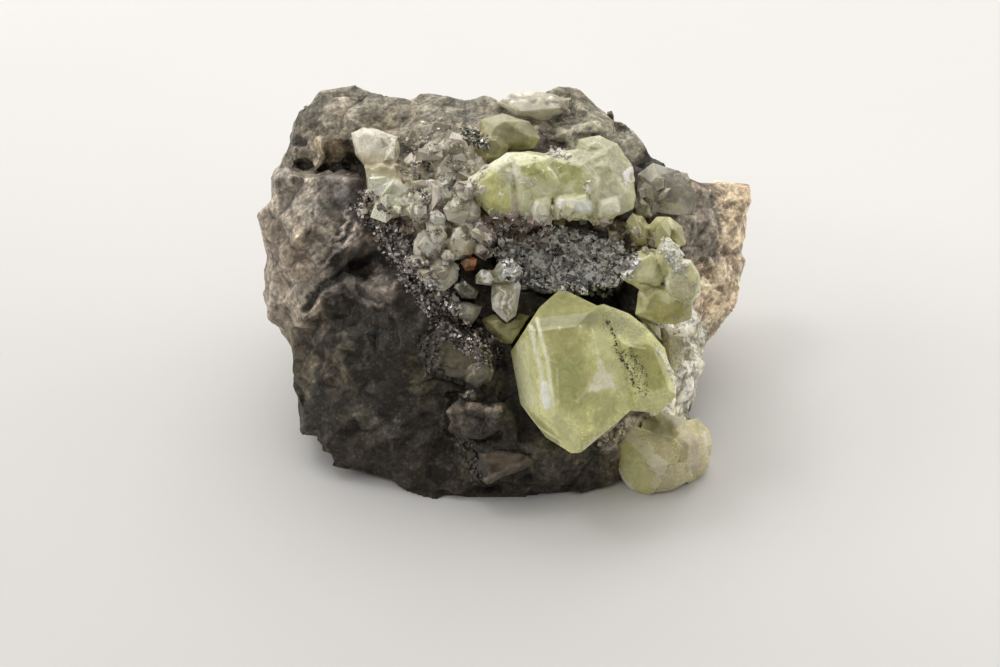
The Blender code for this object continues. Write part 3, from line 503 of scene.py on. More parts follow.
ROCK_VOXEL = 0.26
ROCK_SHARP = 32  # its edges are sharp from this angle, in degrees
ROCK_RELIEF = (-0.85, 0.60)  # the deepest and the highest of it
ROCK_TINT = (2.8, 2.32, 1.62)
# near-black painted shade for the deep hole of the vug
HOLE_SHADE = (1.2, 1.0, 0.9)
FACET_VOXEL = 0.5
FACET_SHARE = 0.065  # of its triangles, kept as flat facets
FACET_REACH = 1.6  # how far from the solid its broken facets may be
FACET_SEED = 11
SPIKE = 0.20  # a point's relief may differ this much from its neighbours'
SOCKET_REACH = 0.42  # rock this near a crystal closes onto it
SOCKET_BITE = 0.06  # and goes this far into it
CRYSTAL_NEAR = 1.2  # crystals are looked for this far from the rock
CALM_REACH = 1.1  # rock relief fades this near a crystal
COVER_SIDE = 0.35  # a point is under a crystal if it is over all points this far to each side
COVER_REACH = 8.0  # and no higher than this

# Parts of the rock: centre and radii on the display face, colour, and how speckled it is
REGIONS = [
    ((-19.2, 8, -9), (5.2, 9.4, 9), (40.5, 34.3, 27), 0.35),
    ((-15.6, 19.6, -9), (5.6, 4.6, 9), (13.5, 11.9, 8.8), 0.4),
    ((-3, 20, -9), (9.5, 5, 7), (27, 24, 17.8), 0.5),
    ((9, 19.5, -9.5), (6, 5, 6), (30, 27.8, 20.5), 0.5),
    ((-6, 13.8, -2), (4.6, 5, 4), (56, 47.5, 36), 0.7),
    ((22, 7, -17), (5, 12, 9), (82, 63.5, 43), 0.15),
    ((18.6, 10.2, -12.5), (2, 4.2, 4), (36, 30.5, 24), 0.3),
    ((17, -2, -8), (4.4, 6.6, 7.5), (98, 91, 71), 0.3),
    ((12.6, -8, -6.4), (2.8, 3, 3), (42, 36.5, 26.5), 0.4),
    ((14, -2, -22), (9, 12, 8), (26, 22, 16.5), 0.4),
    ((-6, 8, -28), (9, 9, 8), (20, 17, 13), 0.4),
]

ROCK_MARKS = [
    Mark(path, reach, tint, 0, 0, *relief)
    for path, reach, tint, *relief in (
        # painted shade in the sunk recess behind the shoulder, and the lumps above it
        ((-18.2, 16.3, -16.9, 16.3), 0.8, (33, 28.5, 22.5), 0.2, 0.4),
        ((-14.9, 17.2, -14.4, 15.9), 1, (23, 19, 12.5), 0.45, 0.3),
        ((-16, 17.2, -16.1, 15.6), 0.7, (52, 45, 33), 0.7, 0.4),
        ((-15.1, 19.6, -13.5, 20.1), 1.2, (30, 27, 21.5), 0.2),
        ((-19.3, 17.7, -17.8, 17.2), 0.55, (4, 3.4, 2.6), -0.4),
        ((-18.4, 15.1, -15.3, 14.8, -13.7, 15), 0.4, (3.6, 3, 2.2), -0.4),
        ((-13.5, 15.3, -12.4, 14.8), 0.8, (3.6, 3, 2.2), -0.4),
        # the dark right part of the shoulder
        ((-14.8, 13.8, -13.3, 13.4), 0.9, (15, 12.4, 10.2), 0, 0.5),
        ((-13.9, 12.9, -14, 10.6, -13, 8.4), 1.1, (16, 13.5, 11.5), 0, 0.6),
        ((-15.8, 6.2, -14.4, 7.5, -12.8, 9.3), 0.4, (42, 36.5, 32), 0.15, 0.7),
        ((-15.3, 8.5, -13.3, 10.9), 0.3, (38, 33, 28.5), 0.15, 0.7),
        # the dark sparkling band that runs down from the milky crystal
        ((-12.2, 12.3, -10.1, 9.7, -8.5, 6.4, -4.5, 1.9, 0, -1.7), 2.1, (3.6, 2.9, 2.5)),
        # grey broken rock below the shoulder, with painted shade in the sunk crevice along it
        ((-15.7, 4, -13.3, 3.9, -10.1, 3.3), 1, (13, 11, 9), 0.25, 0.5),
        ((-17.6, 2.2, -16.4, 3.9, -13.3, 6, -9.2, 7.8), 0.5, (2.2, 1.8, 1.4), -0.35),
        ((-11, 5.5, -9.9, 3.9), 0.8, (13, 11, 9), 0, 0.5),
        # brown and olive patches of the dark rock
        ((-13.7, -0.6, -15.8, -3), 0.6, (7.2, 6.2, 4.5), 0.1, 0.8),
        ((-14.9, -3.3, -13.3, -5.3), 0.8, (5.8, 4.8, 3.4), 0, 0.8),
        ((-7.9, -2.8, -6.8, -4, -8.3, -5.1), 0.7, (6.6, 5.8, 3.6), 0.1, 0.8),
        ((-12.6, -7.4, -9.4, -8.7), 1, (5.5, 4.8, 3.5), 0.1, 0.8),
        ((-17.8, -1.7, -17.5, -5.3), 0.7, (11, 9.6, 6.6), 0, 0.6),
        # about the vug, and painted shade in its deep hole
        ((-0.4, 8.8, 5.4, 9.1, 11.2, 7), 2.2, (5, 4.1, 3.7)),
        ((5.4, 3.3, 9, 3.3, 12.6, 2.6), 1.3, HOLE_SHADE),
        # pinkish rock beside the right crystals
        ((9.5, 9.6, 11.5, 8.5), 0.9, (38, 31.5, 25)),
        # painted shade in the sunk gap between the back crystal and the upper one
        ((4.3, 17.9, 5, 17), 1, (7.5, 6, 5.2), -0.4),
        # banded block under the main crystal, its pinkish band and painted shade in the creases
        # about it
        ((-3.4, -8, -1.1, -7.6), 1.7, (6.2, 5.3, 3.9), 0.32, 0.5),
        ((-4, -6.8, -2.2, -6.5, 0.2, -6.8), 0.3, (15, 12, 9), 0.1, 0.4),
        ((-4.7, -5.7, -2, -5.8, 0.7, -5.6), 0.34, (1.4, 1.2, 0.9), -0.5, 0.3),
        ((-4.6, -6.4, -4.5, -9.1, -2.7, -10.1, 0, -9.6), 0.32, (1.6, 1.3, 1), -0.45, 0.4),
        # under the main crystal and along the bottom
        ((3.6, -10.7, 9, -12.3), 2, (5.6, 4.8, 3.4)),
        ((9.5, -8.9, 10.1, -10.5), 0.9, (30, 26, 20)),
        ((16.4, 1, 16.7, -1.5, 17.3, -4.6), 1.8, (100, 94, 76), 0, 0.7),
    )
]


def rock_paint(face, shares, own, ridge):
    """Tint and speckle of the rock at points of the display face. shares are those of its marks,
    own is each facet's number, and ridge is how sharp it is there."""
    drift = np.stack([noises(face, 2.4, seed) for seed in (1, 2, 3)], 1) * 1.2
    tint = np.tile(ROCK_TINT, (len(face), 1))
    speckle = np.full((len(face), 1), 0.12)
    for centre, radii, colour, specks in REGIONS:
        reach = np.linalg.norm((face + drift - centre) / radii, axis=1)
        share = 1 - smooth(0.72, 1.12, reach)
        tint = blend(tint, colour, share)
        speckle = blend(speckle, specks, share)
    for mark, share in zip(ROCK_MARKS, shares):
        tint = blend(tint, mark.tint, share)
    dim = 1 - smooth(6, 25, tint[:, 1])
    uneven = 0.66 + (0.50 + 0.95 * dim) * own + 0.18 * noises(face, 3.4, 5)
    # ridges painted lighter, partly wear and partly painted highlight; creases painted darker as
    # painted shade
    wear_highlight_and_crease_shade = 0.50 + 1.0 * smooth(-0.16, 0.16, ridge)
    tint = tint * (np.maximum(uneven, 0.3) * wear_highlight_and_crease_shade)[:, None]
    warm = noises(face, 3.0, 6)[:, None]
    return tint * (1 + warm * np.array([0.06, 0.0, -0.07])), speckle[:, 0]


def covered_points(points, tree, owner, tints):
    """Points well under a crystal, with the tint that shines through it, partly painted light for
    light scattered inside the crystal.
    """
    side, up = FROM_FACE[:3, 0] * COVER_SIDE * MM, FROM_FACE[:3, 1] * COVER_SIDE * MM
    covered = []
    for k, point in points:
        hits = [tree.ray_cast(Vector(point + shift), Vector(FACE_OUT), COVER_REACH * MM)
                for shift in (side, -side, up, -up)]
        if all(hit[0] is not None for hit in hits):
            covered.append((k, tints[owner[hits[0][2]]]))
    return covered


def broken_facets():
    """The rock as flat broken facets: their search tree, and a number of its own for each."""
    mesh = remeshed("matrix", FACET_VOXEL)
    points, out = points_and_out(mesh)
    face = on_face(points)
    rise = 0.55 * noises(face, 3.6, 1, 2) + 0.40 * noises(face, 1.6, 2, 2)
    set_points(mesh, points + out * rise[:, None] * MM)
    mesh = modified(mesh, "DECIMATE", ratio=FACET_SHARE)
    tree, owner = tree_of([mesh])
    bpy.data.meshes.remove(mesh)
    return tree, np.random.default_rng(FACET_SEED).random(len(owner))


def rock_piece():
    """The rock, its relief, and its pale or dark sockets under the crystals, whose tints are partly
    painted light that shines through the crystals.
    """
    mesh = remeshed("matrix", ROCK_VOXEL)
    points, out = points_and_out(mesh)
    facets, numbers = broken_facets()
    tree, owner = tree_of([NODES[name].data for name in CRYSTALS])
    distance = np.full(len(points), FAR)
    rise, own = np.zeros((2, len(points)))
    struck = np.zeros(len(points), bool)
    near = []
    for k, point in enumerate(points):
        here, away_from = Vector(point), Vector(out[k])
        hit, facing, facet, depth = facets.ray_cast(
            here + away_from * FACET_REACH * MM, -away_from, 2 * FACET_REACH * MM)
        if hit is not None and facing @ away_from > 0.35:
            struck[k] = True
            rise[k] = FACET_REACH - depth / MM
            own[k] = numbers[facet]
        found, _, _, away = tree.find_nearest(here, CRYSTAL_NEAR * MM)
        if found is None:
            continue
        distance[k] = away / MM
        if distance[k] < SOCKET_REACH:
            near.append((k, point.copy()))
            points[k] = found + (found - here).normalized() * SOCKET_BITE * MM
    rise, own = spread(mesh, rise, struck), spread(mesh, own, struck)
    about = spread(mesh, rise, False, 1)
    rise = np.clip(rise, about - SPIKE, about + SPIKE)
    covered = covered_points(near, tree, owner, [crystal.bed for crystal in CRYSTALS.values()])
    face = on_face(points)
    chip, small_own, _ = fracture(face, 0.9, 3, 0.7, 0.40)
    rise += 0.22 * chip + 0.04 * noises(face, 0.6, 4)
    rise = np.clip(rise, *ROCK_RELIEF)
    shares = mark_shares(ROCK_MARKS, face, out @ FACE_OUT > 0.0, 40)
    for mark, share in zip(ROCK_MARKS, shares):
        rise += mark.lift * share
    calm = smooth(0.3, CALM_REACH, distance)
    on_ground = smooth(0.2, 0.9, points[:, 2] / MM) * smooth(-0.9, -0.3, out[:, 2])
    raise_points(mesh, points, out, rise * calm * on_ground)
    tint, speckle = rock_paint(face, shares, 0.70 * own + 0.30 * small_own, sharpness(mesh))
    # sockets under crystals take the crystal's bed tint; the pale ones are partly painted light
    # that shines through
    for k, bed in covered:
        tint[k] = bed
    # painted shade of small pits, dark where the noise is high; the relief has no such pits
    painted_pit_shade = smooth(0.45, 0.9, noises(face, 1.1, 6, 2)) * calm
    return painted_object(mesh, tint, {"speckle": speckle, "hollow": painted_pit_shade * 0.55}, ROCK_SHARP,
                          "rock", rock_material(), "rock", "matrix")


# ---------------------------------------------------------------- crystals

CRYSTAL_SHARP = 26
CRYSTAL_SEED = 100  # of the first crystal, and each next one has a seed SEED_STEP higher
SEED_STEP = 40


class Crystal(NamedTuple):
    """How a crystal of the solids is dressed. Lengths are in millimetres."""

    slot: str
    light: tuple  # tint of its milky parts
    deep: tuple  # tint of its clearer parts
    clear: float
    frost: float
    bed: tuple  # tint of the rock under it, which shows through it; a pale one is partly painted light for light scattered inside the crystal
    edge: float = 0.0  # width of worn edges of a flat-faced crystal; 0 is an uneven grown one
    cell: float = 0.12  # length of its mesh's edges
    bumps: float = 0.7  # size of its relief
    relief: float = 0.1
    terrace: float = 0.0
    facets: float = 0.0  # how much lighter or darker its facets are than each other
    veins: float = 0.0  # how white its inner cracks are
    rim_highlight: float = 0.0  # how far its sharp edges are painted white, as a painted highlight
    marks: tuple = ()  # rows that each make a Mark


# Its slot, the colour that light keeps inside it, how fast it fades, how it bends, grain size
CRYSTAL_MATERIALS = (
    ("sphalerite", (0.95, 0.96, 0.45), 70, 1.6),
    ("dark_sphalerite", (0.80, 0.82, 0.40), 160, 1.65),
    ("frosted_sphalerite", (0.95, 0.92, 0.60), 60, 1.6),
    ("orange_sphalerite", (0.9, 0.4, 0.2), 200, 1.6),
    ("milky_quartz", (0.95, 0.93, 0.80), 50, 1.55),
    ("quartz", (0.92, 0.88, 0.74), 60, 1.55, 0.35),
    ("grey_quartz", (0.80, 0.78, 0.70), 80, 1.55),
    ("smoky_quartz", (0.70, 0.66, 0.52), 200, 1.55, 0.5),
)

# Tints of the rock under crystals, seen through them; the pale one is partly pale rock and partly
# painted light scattered inside the crystals
PALE_BED_AND_GLOW = (90, 89, 62)
TAN_BED = (72, 64, 49)
GREY_BED = (34, 31, 26)
DARK_BED = (10, 9, 7)
WHITE = (92, 90, 76)

MAIN_MARKS = (
    # front face, darker and browner above its parting line, greener below
    ((5.9, -0.3, 6.3, -1.5), 2, (69, 65.5, 28.5), 0.28, 0.3),
    ((6.1, -3.3, 6.5, -5.7), 1.9, (62, 62, 26.5), 0.32, 0.28),
    ((4.3, -2.2, 7.6, -2.3), 0.08, (60, 57, 25), 0.3, 0.3, -0.02, 0.05),
    # the facets above the front face, and painted glints on them
    ((3.8, 1, 5.9, 2.6, 8.6, 1.5), 1.5, (58, 56.5, 26.5)),
    ((3.1, 0.3, 4.3, 1, 8.3, 1.3), 0.7, (46, 44.5, 22)),
    ((5.3, 0.5), 0.15, (95, 90, 72), 0.15, 0.3, 0.03),
    ((7.2, 0.6), 0.15, (95, 90, 72), 0.15, 0.3, 0.03),
    # smooth left facet; its pale tint is partly its own colour and partly painted light on that
    # side
    ((2, -1.1, 2.3, -4.7, 2.7, -6), 0.8, (100, 100, 60), 0.2, 0.22),
    # whitish growth lines down the left side, partly painted highlights; the widest, brightest one
    # is a painted highlight
    ((2.7, 0.6, 3.7, -3.5, 4, -6.5), 0.3, (94, 93, 67), 0.2, 0.3, 0.04, 0.05),
    ((3.3, 1.3, 4.3, -2.4, 4.8, -6.5), 0.22, (95, 94, 66), 0.2, 0.3, 0.04, 0.05),
    ((3.1, 0.3, 3.4, -1.7), 0.1, (90, 89, 60), 0.2, 0.3, 0.03, 0.05),
    ((4, -4.6, 4.3, -6.6), 0.36, (100, 100, 88), 0.1, 0.3, 0.04, 0.08),
    ((5.1, -3.1, 5.3, -6.4), 0.1, (86, 85, 52), 0.3, 0.3, 0.03, 0.05),
    # darker facet below the cloud
    ((8.3, -5.8, 10.1, -6.4, 9, -7.8), 0.8, (68, 67, 32), 0.3, 0.28, 0, 0.1),
    # lower left facets
    ((4.7, -7.1, 5.7, -8.5, 6.6, -9.8), 0.65, (77, 76, 40), 0.25, 0.25, 0, 0.08),
    ((2.7, -7.5, 4, -8.7, 5, -9.8), 0.5, (66, 65, 30), 0.35, 0.2, 0, 0.08),
    # frosted right facet
    ((9, -0.2, 9.7, -2.4, 11, -4.7), 0.75, (82, 80, 41), 0.25, 0.5),
    ((8.3, 0.4, 8.8, -2.4, 10.4, -5.3), 0.09, (90, 88, 56), 0.2, 0.4, 0.03, 0.04),
    # pinkish white cloud, a ragged triangle, with its trail
    ((9, -2.8, 9.4, -3.9), 0.34, (90, 84, 60), 0.1, 0.3, 0, 0.2),
    ((8.8, -3.9, 9.7, -4), 0.6, (94, 88, 67), 0.1, 0.3, 0, 0.2),
    ((8, -4.9, 10.1, -4.7), 0.38, (97, 91, 72), 0.1, 0.3, 0, 0.2),
    ((8.1, -4.1, 7.5, -5.1, 6.8, -6.1), 0.28, (80, 77, 44), 0.2, 0.3, 0, 0.4),
    # twin: rough above, dark olive in the middle, whitish right edge
    ((9.9, 1.3, 12.2, 0.1), 1, (56, 54, 25), 0.3, 0.4),
    ((12.6, -1.7, 13.7, -3, 14, -4.2), 1.25, (60, 57.5, 23.5), 0.36, 0.25),
    ((11, -0.9, 13.1, -1.4), 0.1, (84, 82, 50), 0.2, 0.3, 0.03, 0.05),
    ((14, -1.3, 15.1, -2.8, 15.8, -4.2, 15.9, -5.3), 0.16, (98, 94, 78), 0.1, 0.55, 0.03),
    # granular light rim along the lower right edge, and a thin bright rim on the left that is a
    # painted highlight
    ((7.6, -10.3, 9.4, -9.1, 10.7, -8.1), 0.24, (86, 84, 54), 0.2, 0.5, 0.02),
    ((1.2, -1.9, 2, -6.4, 3.2, -8.2, 5.6, -9.8), 0.1, (92, 90, 62), 0.2, 0.3, 0, 0.03),
)

UPPER_MARKS = (
    # flat saturated face at the left, its pale upper bevel and its bright ridge
    ((-1, 13.6, -0.4, 12.3, 0.1, 11.3), 1.3, (86, 83, 36), 0.35, 0.1, 0, 0.1),
    ((-2.8, 13.9, -1.6, 14.8, 0.4, 16.1), 0.5, (92, 89, 66), 0.2, 0.2, 0, 0.12),
    ((-0.4, 14.5, -0.1, 13.4, 0, 11.6), 0.07, WHITE, 0.1, 0.4, 0.03, 0.5),
    ((0.5, 15.6, 1.1, 14.5, 1.9, 13.4), 0.38, (96, 95, 78), 0.2, 0.2, 0.05, 0.6),
    # green middle, with painted glints on its cracks and a painted bright spot
    ((2.7, 14.8, 4.7, 14.7, 7, 14.1), 1.2, (82, 83, 38), 0.48, 0.05),
    ((1.8, 13, 4, 12.7, 6.3, 12.9), 0.9, (95, 95, 62), 0.4, 0.08, 0.03, 0.6),
    ((4.5, 14.8, 5, 14), 0.1, WHITE, 0.05, 0.3, 0.05, 0.3),
    ((7.8, 13.2, 8.1, 12.7), 0.22, (100, 99, 95), 0.05, 0.3, 0.08, 0.3),
    ((1.1, 16.5, 2.7, 16.4, 4, 16.2), 0.22, (60, 57, 24), 0.5, 0.06, 0, 0.1),
    # pale lobe and white corner at the right
    ((7.4, 16.8, 9.2, 16.5, 10.6, 14.8), 1.5, (52, 49.5, 32), 0.25, 0.3, 0, 0.4),
    ((9, 14.1, 10.1, 13), 1.5, (88, 84, 60), 0.25, 0.25, 0, 0.4),
    ((11.5, 14.7, 11.6, 13.8), 0.34, (100, 97, 90), 0.1, 0.5, 0.1, 0.3),
    ((9.4, 12, 11, 11.5), 1, (92, 89, 70), 0.3, 0.25, 0, 0.4),
    # clear whitish toes and painted shade in the gap between them
    ((3.4, 11.2, 4, 10.2), 0.65, (96, 95, 82), 0.35, 0.1, 0.1, 0.1),
    ((5.6, 11.5, 7.7, 11.4), 0.7, (96, 96, 86), 0.35, 0.1, 0.14, 0.1),
    ((4.7, 12, 4.9, 10.4), 0.12, (30, 27, 14), 0.4, 0.2, -0.2, 0.25),
    ((1.3, 12.2, 1.6, 10.9), 0.5, (88, 78, 62), 0.25, 0.25, 0.05),
)

RIGHT_MARKS = (
    ((11.9, 6.4, 12.8, 5.5), 1.2, (95, 91, 54), 0.25, 0.2),
    ((11, 6.4, 11.2, 5.7), 0.4, (80, 77, 58)),
    ((14.6, 8.4, 15.5, 7.3, 16.2, 6.2), 0.85, (94, 92, 76), 0.25, 0.45, 0.06, 0.4),
    ((16.5, 4.2), 1.25, (68, 64, 40), 0.2, 0.62, 0.05, 0.2),
    ((15, 5, 15.2, 3.8, 15.8, 3, 17.1, 2.7, 17.9, 3.7), 0.15, (90, 88, 72), 0.1, 0.6, 0.06, 0.3),
    ((13.3, 3, 14.8, 1.7, 16.4, 2.1), 1.1, (50, 46, 17), 0.35, 0.2),
    ((12.6, 4.4, 14.8, 3.9), 0.12, (50, 46, 18), 0.4, 0.2, -0.04),
)

LOWER_RIGHT_MARKS = (
    ((11.2, -10.5, 12.1, -12.2, 12.6, -13.9), 1.1, (100, 97, 46), 0.3, 0.2),
    # thin whitish lower left edge, a painted highlight
    ((10.4, -11.1, 10.8, -12.7, 11.9, -14.2), 0.28, (98, 96, 76), 0.15, 0.4, 0.05),
    ((11.7, -9.1, 13.1, -10.5, 14.4, -12), 0.7, (94, 87, 68), 0.15, 0.45, 0.1, 0.4),
    ((13.9, -8.2, 16.2, -7.4), 0.8, (76, 71, 50)),
    ((17.1, -9.8, 17.5, -11.8), 0.9, (70, 61, 42), 0.2, 0.35),
    ((18.5, -8.9, 18.8, -11.6), 0.22, (98, 87, 64), 0.15, 0.4),
    ((13.7, -8.4, 14.9, -8.9), 1, (56, 53, 33), 0.35, 0.2, -0.2, 0.4),
)

MILKY_MARKS = (
    ((-12.6, 17.6, -10.8, 17.2), 1.6, (76, 71, 59), 0.15, 0.35),
    ((-11.9, 15.1, -9.7, 14.5), 1.2, (74, 66, 46), 0.25, 0.3),
    ((-10.8, 13.4, -9, 12.7), 1.1, (96, 96, 80), 0.25, 0.15),
    ((-11.2, 12.1, -8.5, 12.7), 0.12, WHITE, 0.1, 0.3, 0.06, 0.1),
    ((-11.5, 11.6, -8.3, 11.4), 0.7, (76, 71, 46), 0.4, 0.15),
)

WHITE_MARKS = (
    # its ends and edges, which merge with the rock
    ((0.2, 21, 2.7, 21.5, 5.4, 21.6), 0.4, (46, 42, 33), 0.1, 0.5, -0.1, 0.6),
    ((5.4, 21.1, 6.5, 20.2), 1, (38, 33.5, 24.5), 0.1, 0.5, -0.2, 0.6),
)

QUARTZ_MARKS = (
    # clear tops, a tan block with a dark core, painted shade in a notch, a greenish one beside it
    # and the big clear one with a thin painted glint
    ((-4, 11.4, -2.5, 11.2), 1, (98, 93, 74), 0.4, 0.02, 0.05),
    ((-5.7, 11.1), 1, (100, 94, 76), 0.35, 0.02, 0.05),
    ((-4, 7.6, -2.9, 7.5), 0.8, (86, 77, 55), 0.3, 0.1),
    ((-4, 9.6, -2.9, 8.7), 0.55, (34, 28.5, 19.5), 0.4, 0.05, -0.1, 0.9),
    ((-5.6, 9.1), 0.35, (20, 17, 12), 0.5, 0.02, -0.1),
    ((-6.7, 6.4, -5.4, 5.1, -4.7, 6.4), 0.9, (72, 68, 52), 0.6, 0.02),
    ((-6.8, 5.8, -5.8, 4.4, -4.5, 4.8), 0.12, WHITE, 0.2, 0.1, 0.05, 0.3),
)

SMALL_QUARTZ_MARKS = (
    # bright and dark growth lines of the hanging crystal, and the bright pair above it
    ((-0.3, 4.2, 0, 2.1, 0.8, 0.8), 0.1, (98, 95, 80), 0.2, 0.2, 0.01, 0.7),
    ((1.2, 4.4, 0.7, 2.6, 1.1, 1.3), 0.12, (96, 92, 74), 0.2, 0.2, 0.01, 0.8),
    ((0.3, 4, 0.4, 1.7), 0.28, (56, 53, 39), 0.5, 0.02, -0.02, 0.9),
    ((-1.8, 5.5, -0.9, 4.8), 0.3, (100, 99, 92), 0.15, 0.2, 0.05, 0.6),
    ((0, 6.2, 1.3, 5.5), 0.35, (100, 99, 92), 0.15, 0.2, 0.05, 0.6),
    ((0.5, 5, -0.4, 5.5), 0.25, (50, 47, 34), 0.5, 0.02, -0.05, 0.5),
)

SMOKY_MARKS = (
    # edges that merge with the rock, olive glassy hollow with faint arcs, clear corner, light rim
    ((-6.1, -0.1, -6.7, -2.1, -5.8, -3.9, -3.6, -4.8), 1, (4, 3.4, 2.4), 0.1, 0.9, -0.1, 0.6),
    ((-5, 0.3, -3.4, -0.1), 0.8, (4.6, 3.9, 2.7), 0.1, 0.9, -0.05, 0.6),
    ((-4.5, -1.2, -3.4, -2.8), 1, (22, 19.2, 10.5), 0.5, 0.03, -0.2, 0.4),
    ((-3.4, -0.8, -2.8, -2.1, -2.7, -3.1), 0.05, (34, 30, 20), 0.4, 0.1, 0.03, 0.1),
    ((-2, -3.5, -0.9, -3.9), 0.8, (46, 42, 31), 0.7, 0.04, 0.15, 0.25),
    ((-2.3, -1.2, -1, -2.4, -0.4, -3.7), 0.12, (50, 45, 34), 0.4, 0.2, 0.05, 0.2),
    ((-2.9, -3.7, -2.2, -2.7, -1.1, -2.5), 0.1, (50, 45, 33), 0.4, 0.2, 0.05, 0.2),
)

BROWN_MARKS = (
    ((-2.5, -9.6, -1.8, -11.6, -1.3, -13.2), 0.5, (5, 4.2, 2.9), 0.15, 0.35, -0.1, 0.4),
    ((0, -10.2, 2.7, -10.7), 0.6, (6, 4.8, 3.3), 0.2, 0.3, -0.1, 0.4),
    ((-0.7, -11.1, 0.9, -11.2), 0.9, (24, 18, 12), 0.35, 0.35, -0.1, 0.5),
    ((-1.2, -12.9, 0, -12.5, 1.8, -11.6), 0.12, (34, 28, 20), 0.4, 0.1, 0.03, 0.3),
)

GREY_QUARTZ = Crystal("grey_quartz", (58, 56, 45), (30, 28.5, 22), 0.6, 0.03, GREY_BED,
    edge=0.05, cell=0.22, facets=0.4, veins=0.4, rim_highlight=0.6)

CRYSTALS = {
    "main_crystal": Crystal("sphalerite", (95, 93, 48), (87, 85, 39), 0.26, 0.34, PALE_BED_AND_GLOW,
        edge=0.09, cell=0.23, bumps=1.4, relief=0.02, rim_highlight=0.25, marks=MAIN_MARKS),
    "upper_crystal": Crystal("sphalerite", (100, 99, 70), (93, 93, 50), 0.42, 0.06, PALE_BED_AND_GLOW,
        bumps=1, relief=0.12, terrace=0.04, facets=0.12, veins=0.9, rim_highlight=0.5, marks=UPPER_MARKS),
    "right_crystal": Crystal("sphalerite", (94, 91, 56), (86, 82, 40), 0.38, 0.18, PALE_BED_AND_GLOW,
        bumps=1, terrace=0.02, facets=0.1, veins=0.4, rim_highlight=0.35, marks=RIGHT_MARKS),
    "right_upper_crystal": Crystal("dark_sphalerite", (86, 81, 46), (64, 60, 30), 0.42, 0.1,
        GREY_BED, bumps=0.9, relief=0.08, facets=0.15),
    "pale_crystal": Crystal("sphalerite", (70, 68, 44), (56, 54, 28), 0.5, 0.25, PALE_BED_AND_GLOW),
    "lower_right_crystal": Crystal("frosted_sphalerite", (90, 81, 52), (83, 75, 40), 0.25, 0.35,
        PALE_BED_AND_GLOW, cell=0.15, bumps=1.6, facets=0.06, rim_highlight=0.25, marks=LOWER_RIGHT_MARKS),
    "back_crystal": Crystal("dark_sphalerite", (58, 54, 30), (42, 39, 19), 0.4, 0.25, GREY_BED,
        cell=0.14, bumps=1, facets=0.12),
    "olive_crystal": Crystal("dark_sphalerite", (52, 48, 22), (30, 28, 11), 0.4, 0.3, DARK_BED,
        cell=0.14, relief=0.14, facets=0.15),
    "orange_crystal": Crystal("orange_sphalerite", (44, 20, 10), (20, 8.5, 4.5), 0.3, 0.35,
        DARK_BED, cell=0.08, bumps=0.4, relief=0.16, marks=(((-2.3, 6.6), 0.6, (74, 30, 12)),)),
    "milky_crystal": Crystal("milky_quartz", (82, 77, 61), (62, 56, 39), 0.25, 0.3, TAN_BED,
        bumps=0.9, relief=0.2, terrace=0.04, facets=0.1, veins=0.3, rim_highlight=0.2, marks=MILKY_MARKS),
    "white_crystal": Crystal("milky_quartz", (96, 91, 78), (90, 84, 70), 0.2, 0.45, TAN_BED,
        bumps=1.3, relief=0.26, facets=0.1, marks=WHITE_MARKS),
    "side_crystal": Crystal("milky_quartz", (92, 87, 70), (78, 72, 55), 0.25, 0.4, TAN_BED,
        relief=0.14, facets=0.1),
    "quartz_cluster": Crystal("quartz", (100, 96, 80), (98, 89, 70), 0.33, 0.04, TAN_BED,
        edge=0.06, cell=0.2, facets=0.32, veins=0.8, rim_highlight=0.7, marks=QUARTZ_MARKS),
    "small_quartz": Crystal("quartz", (98, 96, 82), (80, 77, 58), 0.55, 0.03, TAN_BED, edge=0.05,
        cell=0.18, bumps=0.5, relief=0.08, facets=0.4, veins=0.8, rim_highlight=0.7,
        marks=SMALL_QUARTZ_MARKS),
    "right_druse": Crystal("quartz", (60, 56.5, 44), (42, 38.5, 29), 0.5, 0.25, GREY_BED,
        edge=0.05, cell=0.24, bumps=0.8, relief=0.12, facets=0.3, veins=0.4, rim_highlight=0.3),
    "upper_grey_quartz": Crystal("grey_quartz", (76, 68, 53), (42, 37, 28), 0.35, 0.15, TAN_BED,
        cell=0.13, bumps=0.8, relief=0.2, facets=0.26, veins=0.5, rim_highlight=0.4),
    "grey_quartz_left": GREY_QUARTZ,
    "grey_quartz_low": GREY_QUARTZ,
    "smoky_quartz": Crystal("smoky_quartz", (21, 18.2, 10.4), (10.5, 9.2, 5.3), 0.5, 0.03,
        DARK_BED, cell=0.15, bumps=2.2, relief=0.12, marks=SMOKY_MARKS),
    "brown_quartz": Crystal("smoky_quartz", (26, 20, 13), (13, 10, 6.6), 0.35, 0.4, DARK_BED,
        cell=0.15, bumps=1.8, relief=0.14, marks=BROWN_MARKS),
}


def flat_faced(name, edge, cell):
    """A crystal's mesh with flat facets and worn edges, divided finely enough for its paint."""
    bm = welded_copy(NODES[name])
    bmesh.ops.dissolve_limit(bm, angle_limit=math.radians(4), verts=bm.verts, edges=bm.edges)
    bmesh.ops.bevel(bm, geom=bm.edges[:], offset=edge * MM, segments=2, affect="EDGES",
                    clamp_overlap=True, profile=0.6)
    bmesh.ops.triangulate(bm, faces=bm.faces)
    for _ in range(7):
        long = [e for e in bm.edges if e.calc_length() > cell * MM]
        if not long:
            break
        bmesh.ops.subdivide_edges(bm, edges=long, cuts=1)
        bmesh.ops.triangulate(bm, faces=[f for f in bm.faces if len(f.verts) > 3])
    bmesh.ops.remove_doubles(bm, verts=bm.verts, dist=WELD)
    bmesh.ops.recalc_face_normals(bm, faces=bm.faces)
    return mesh_from(bm)


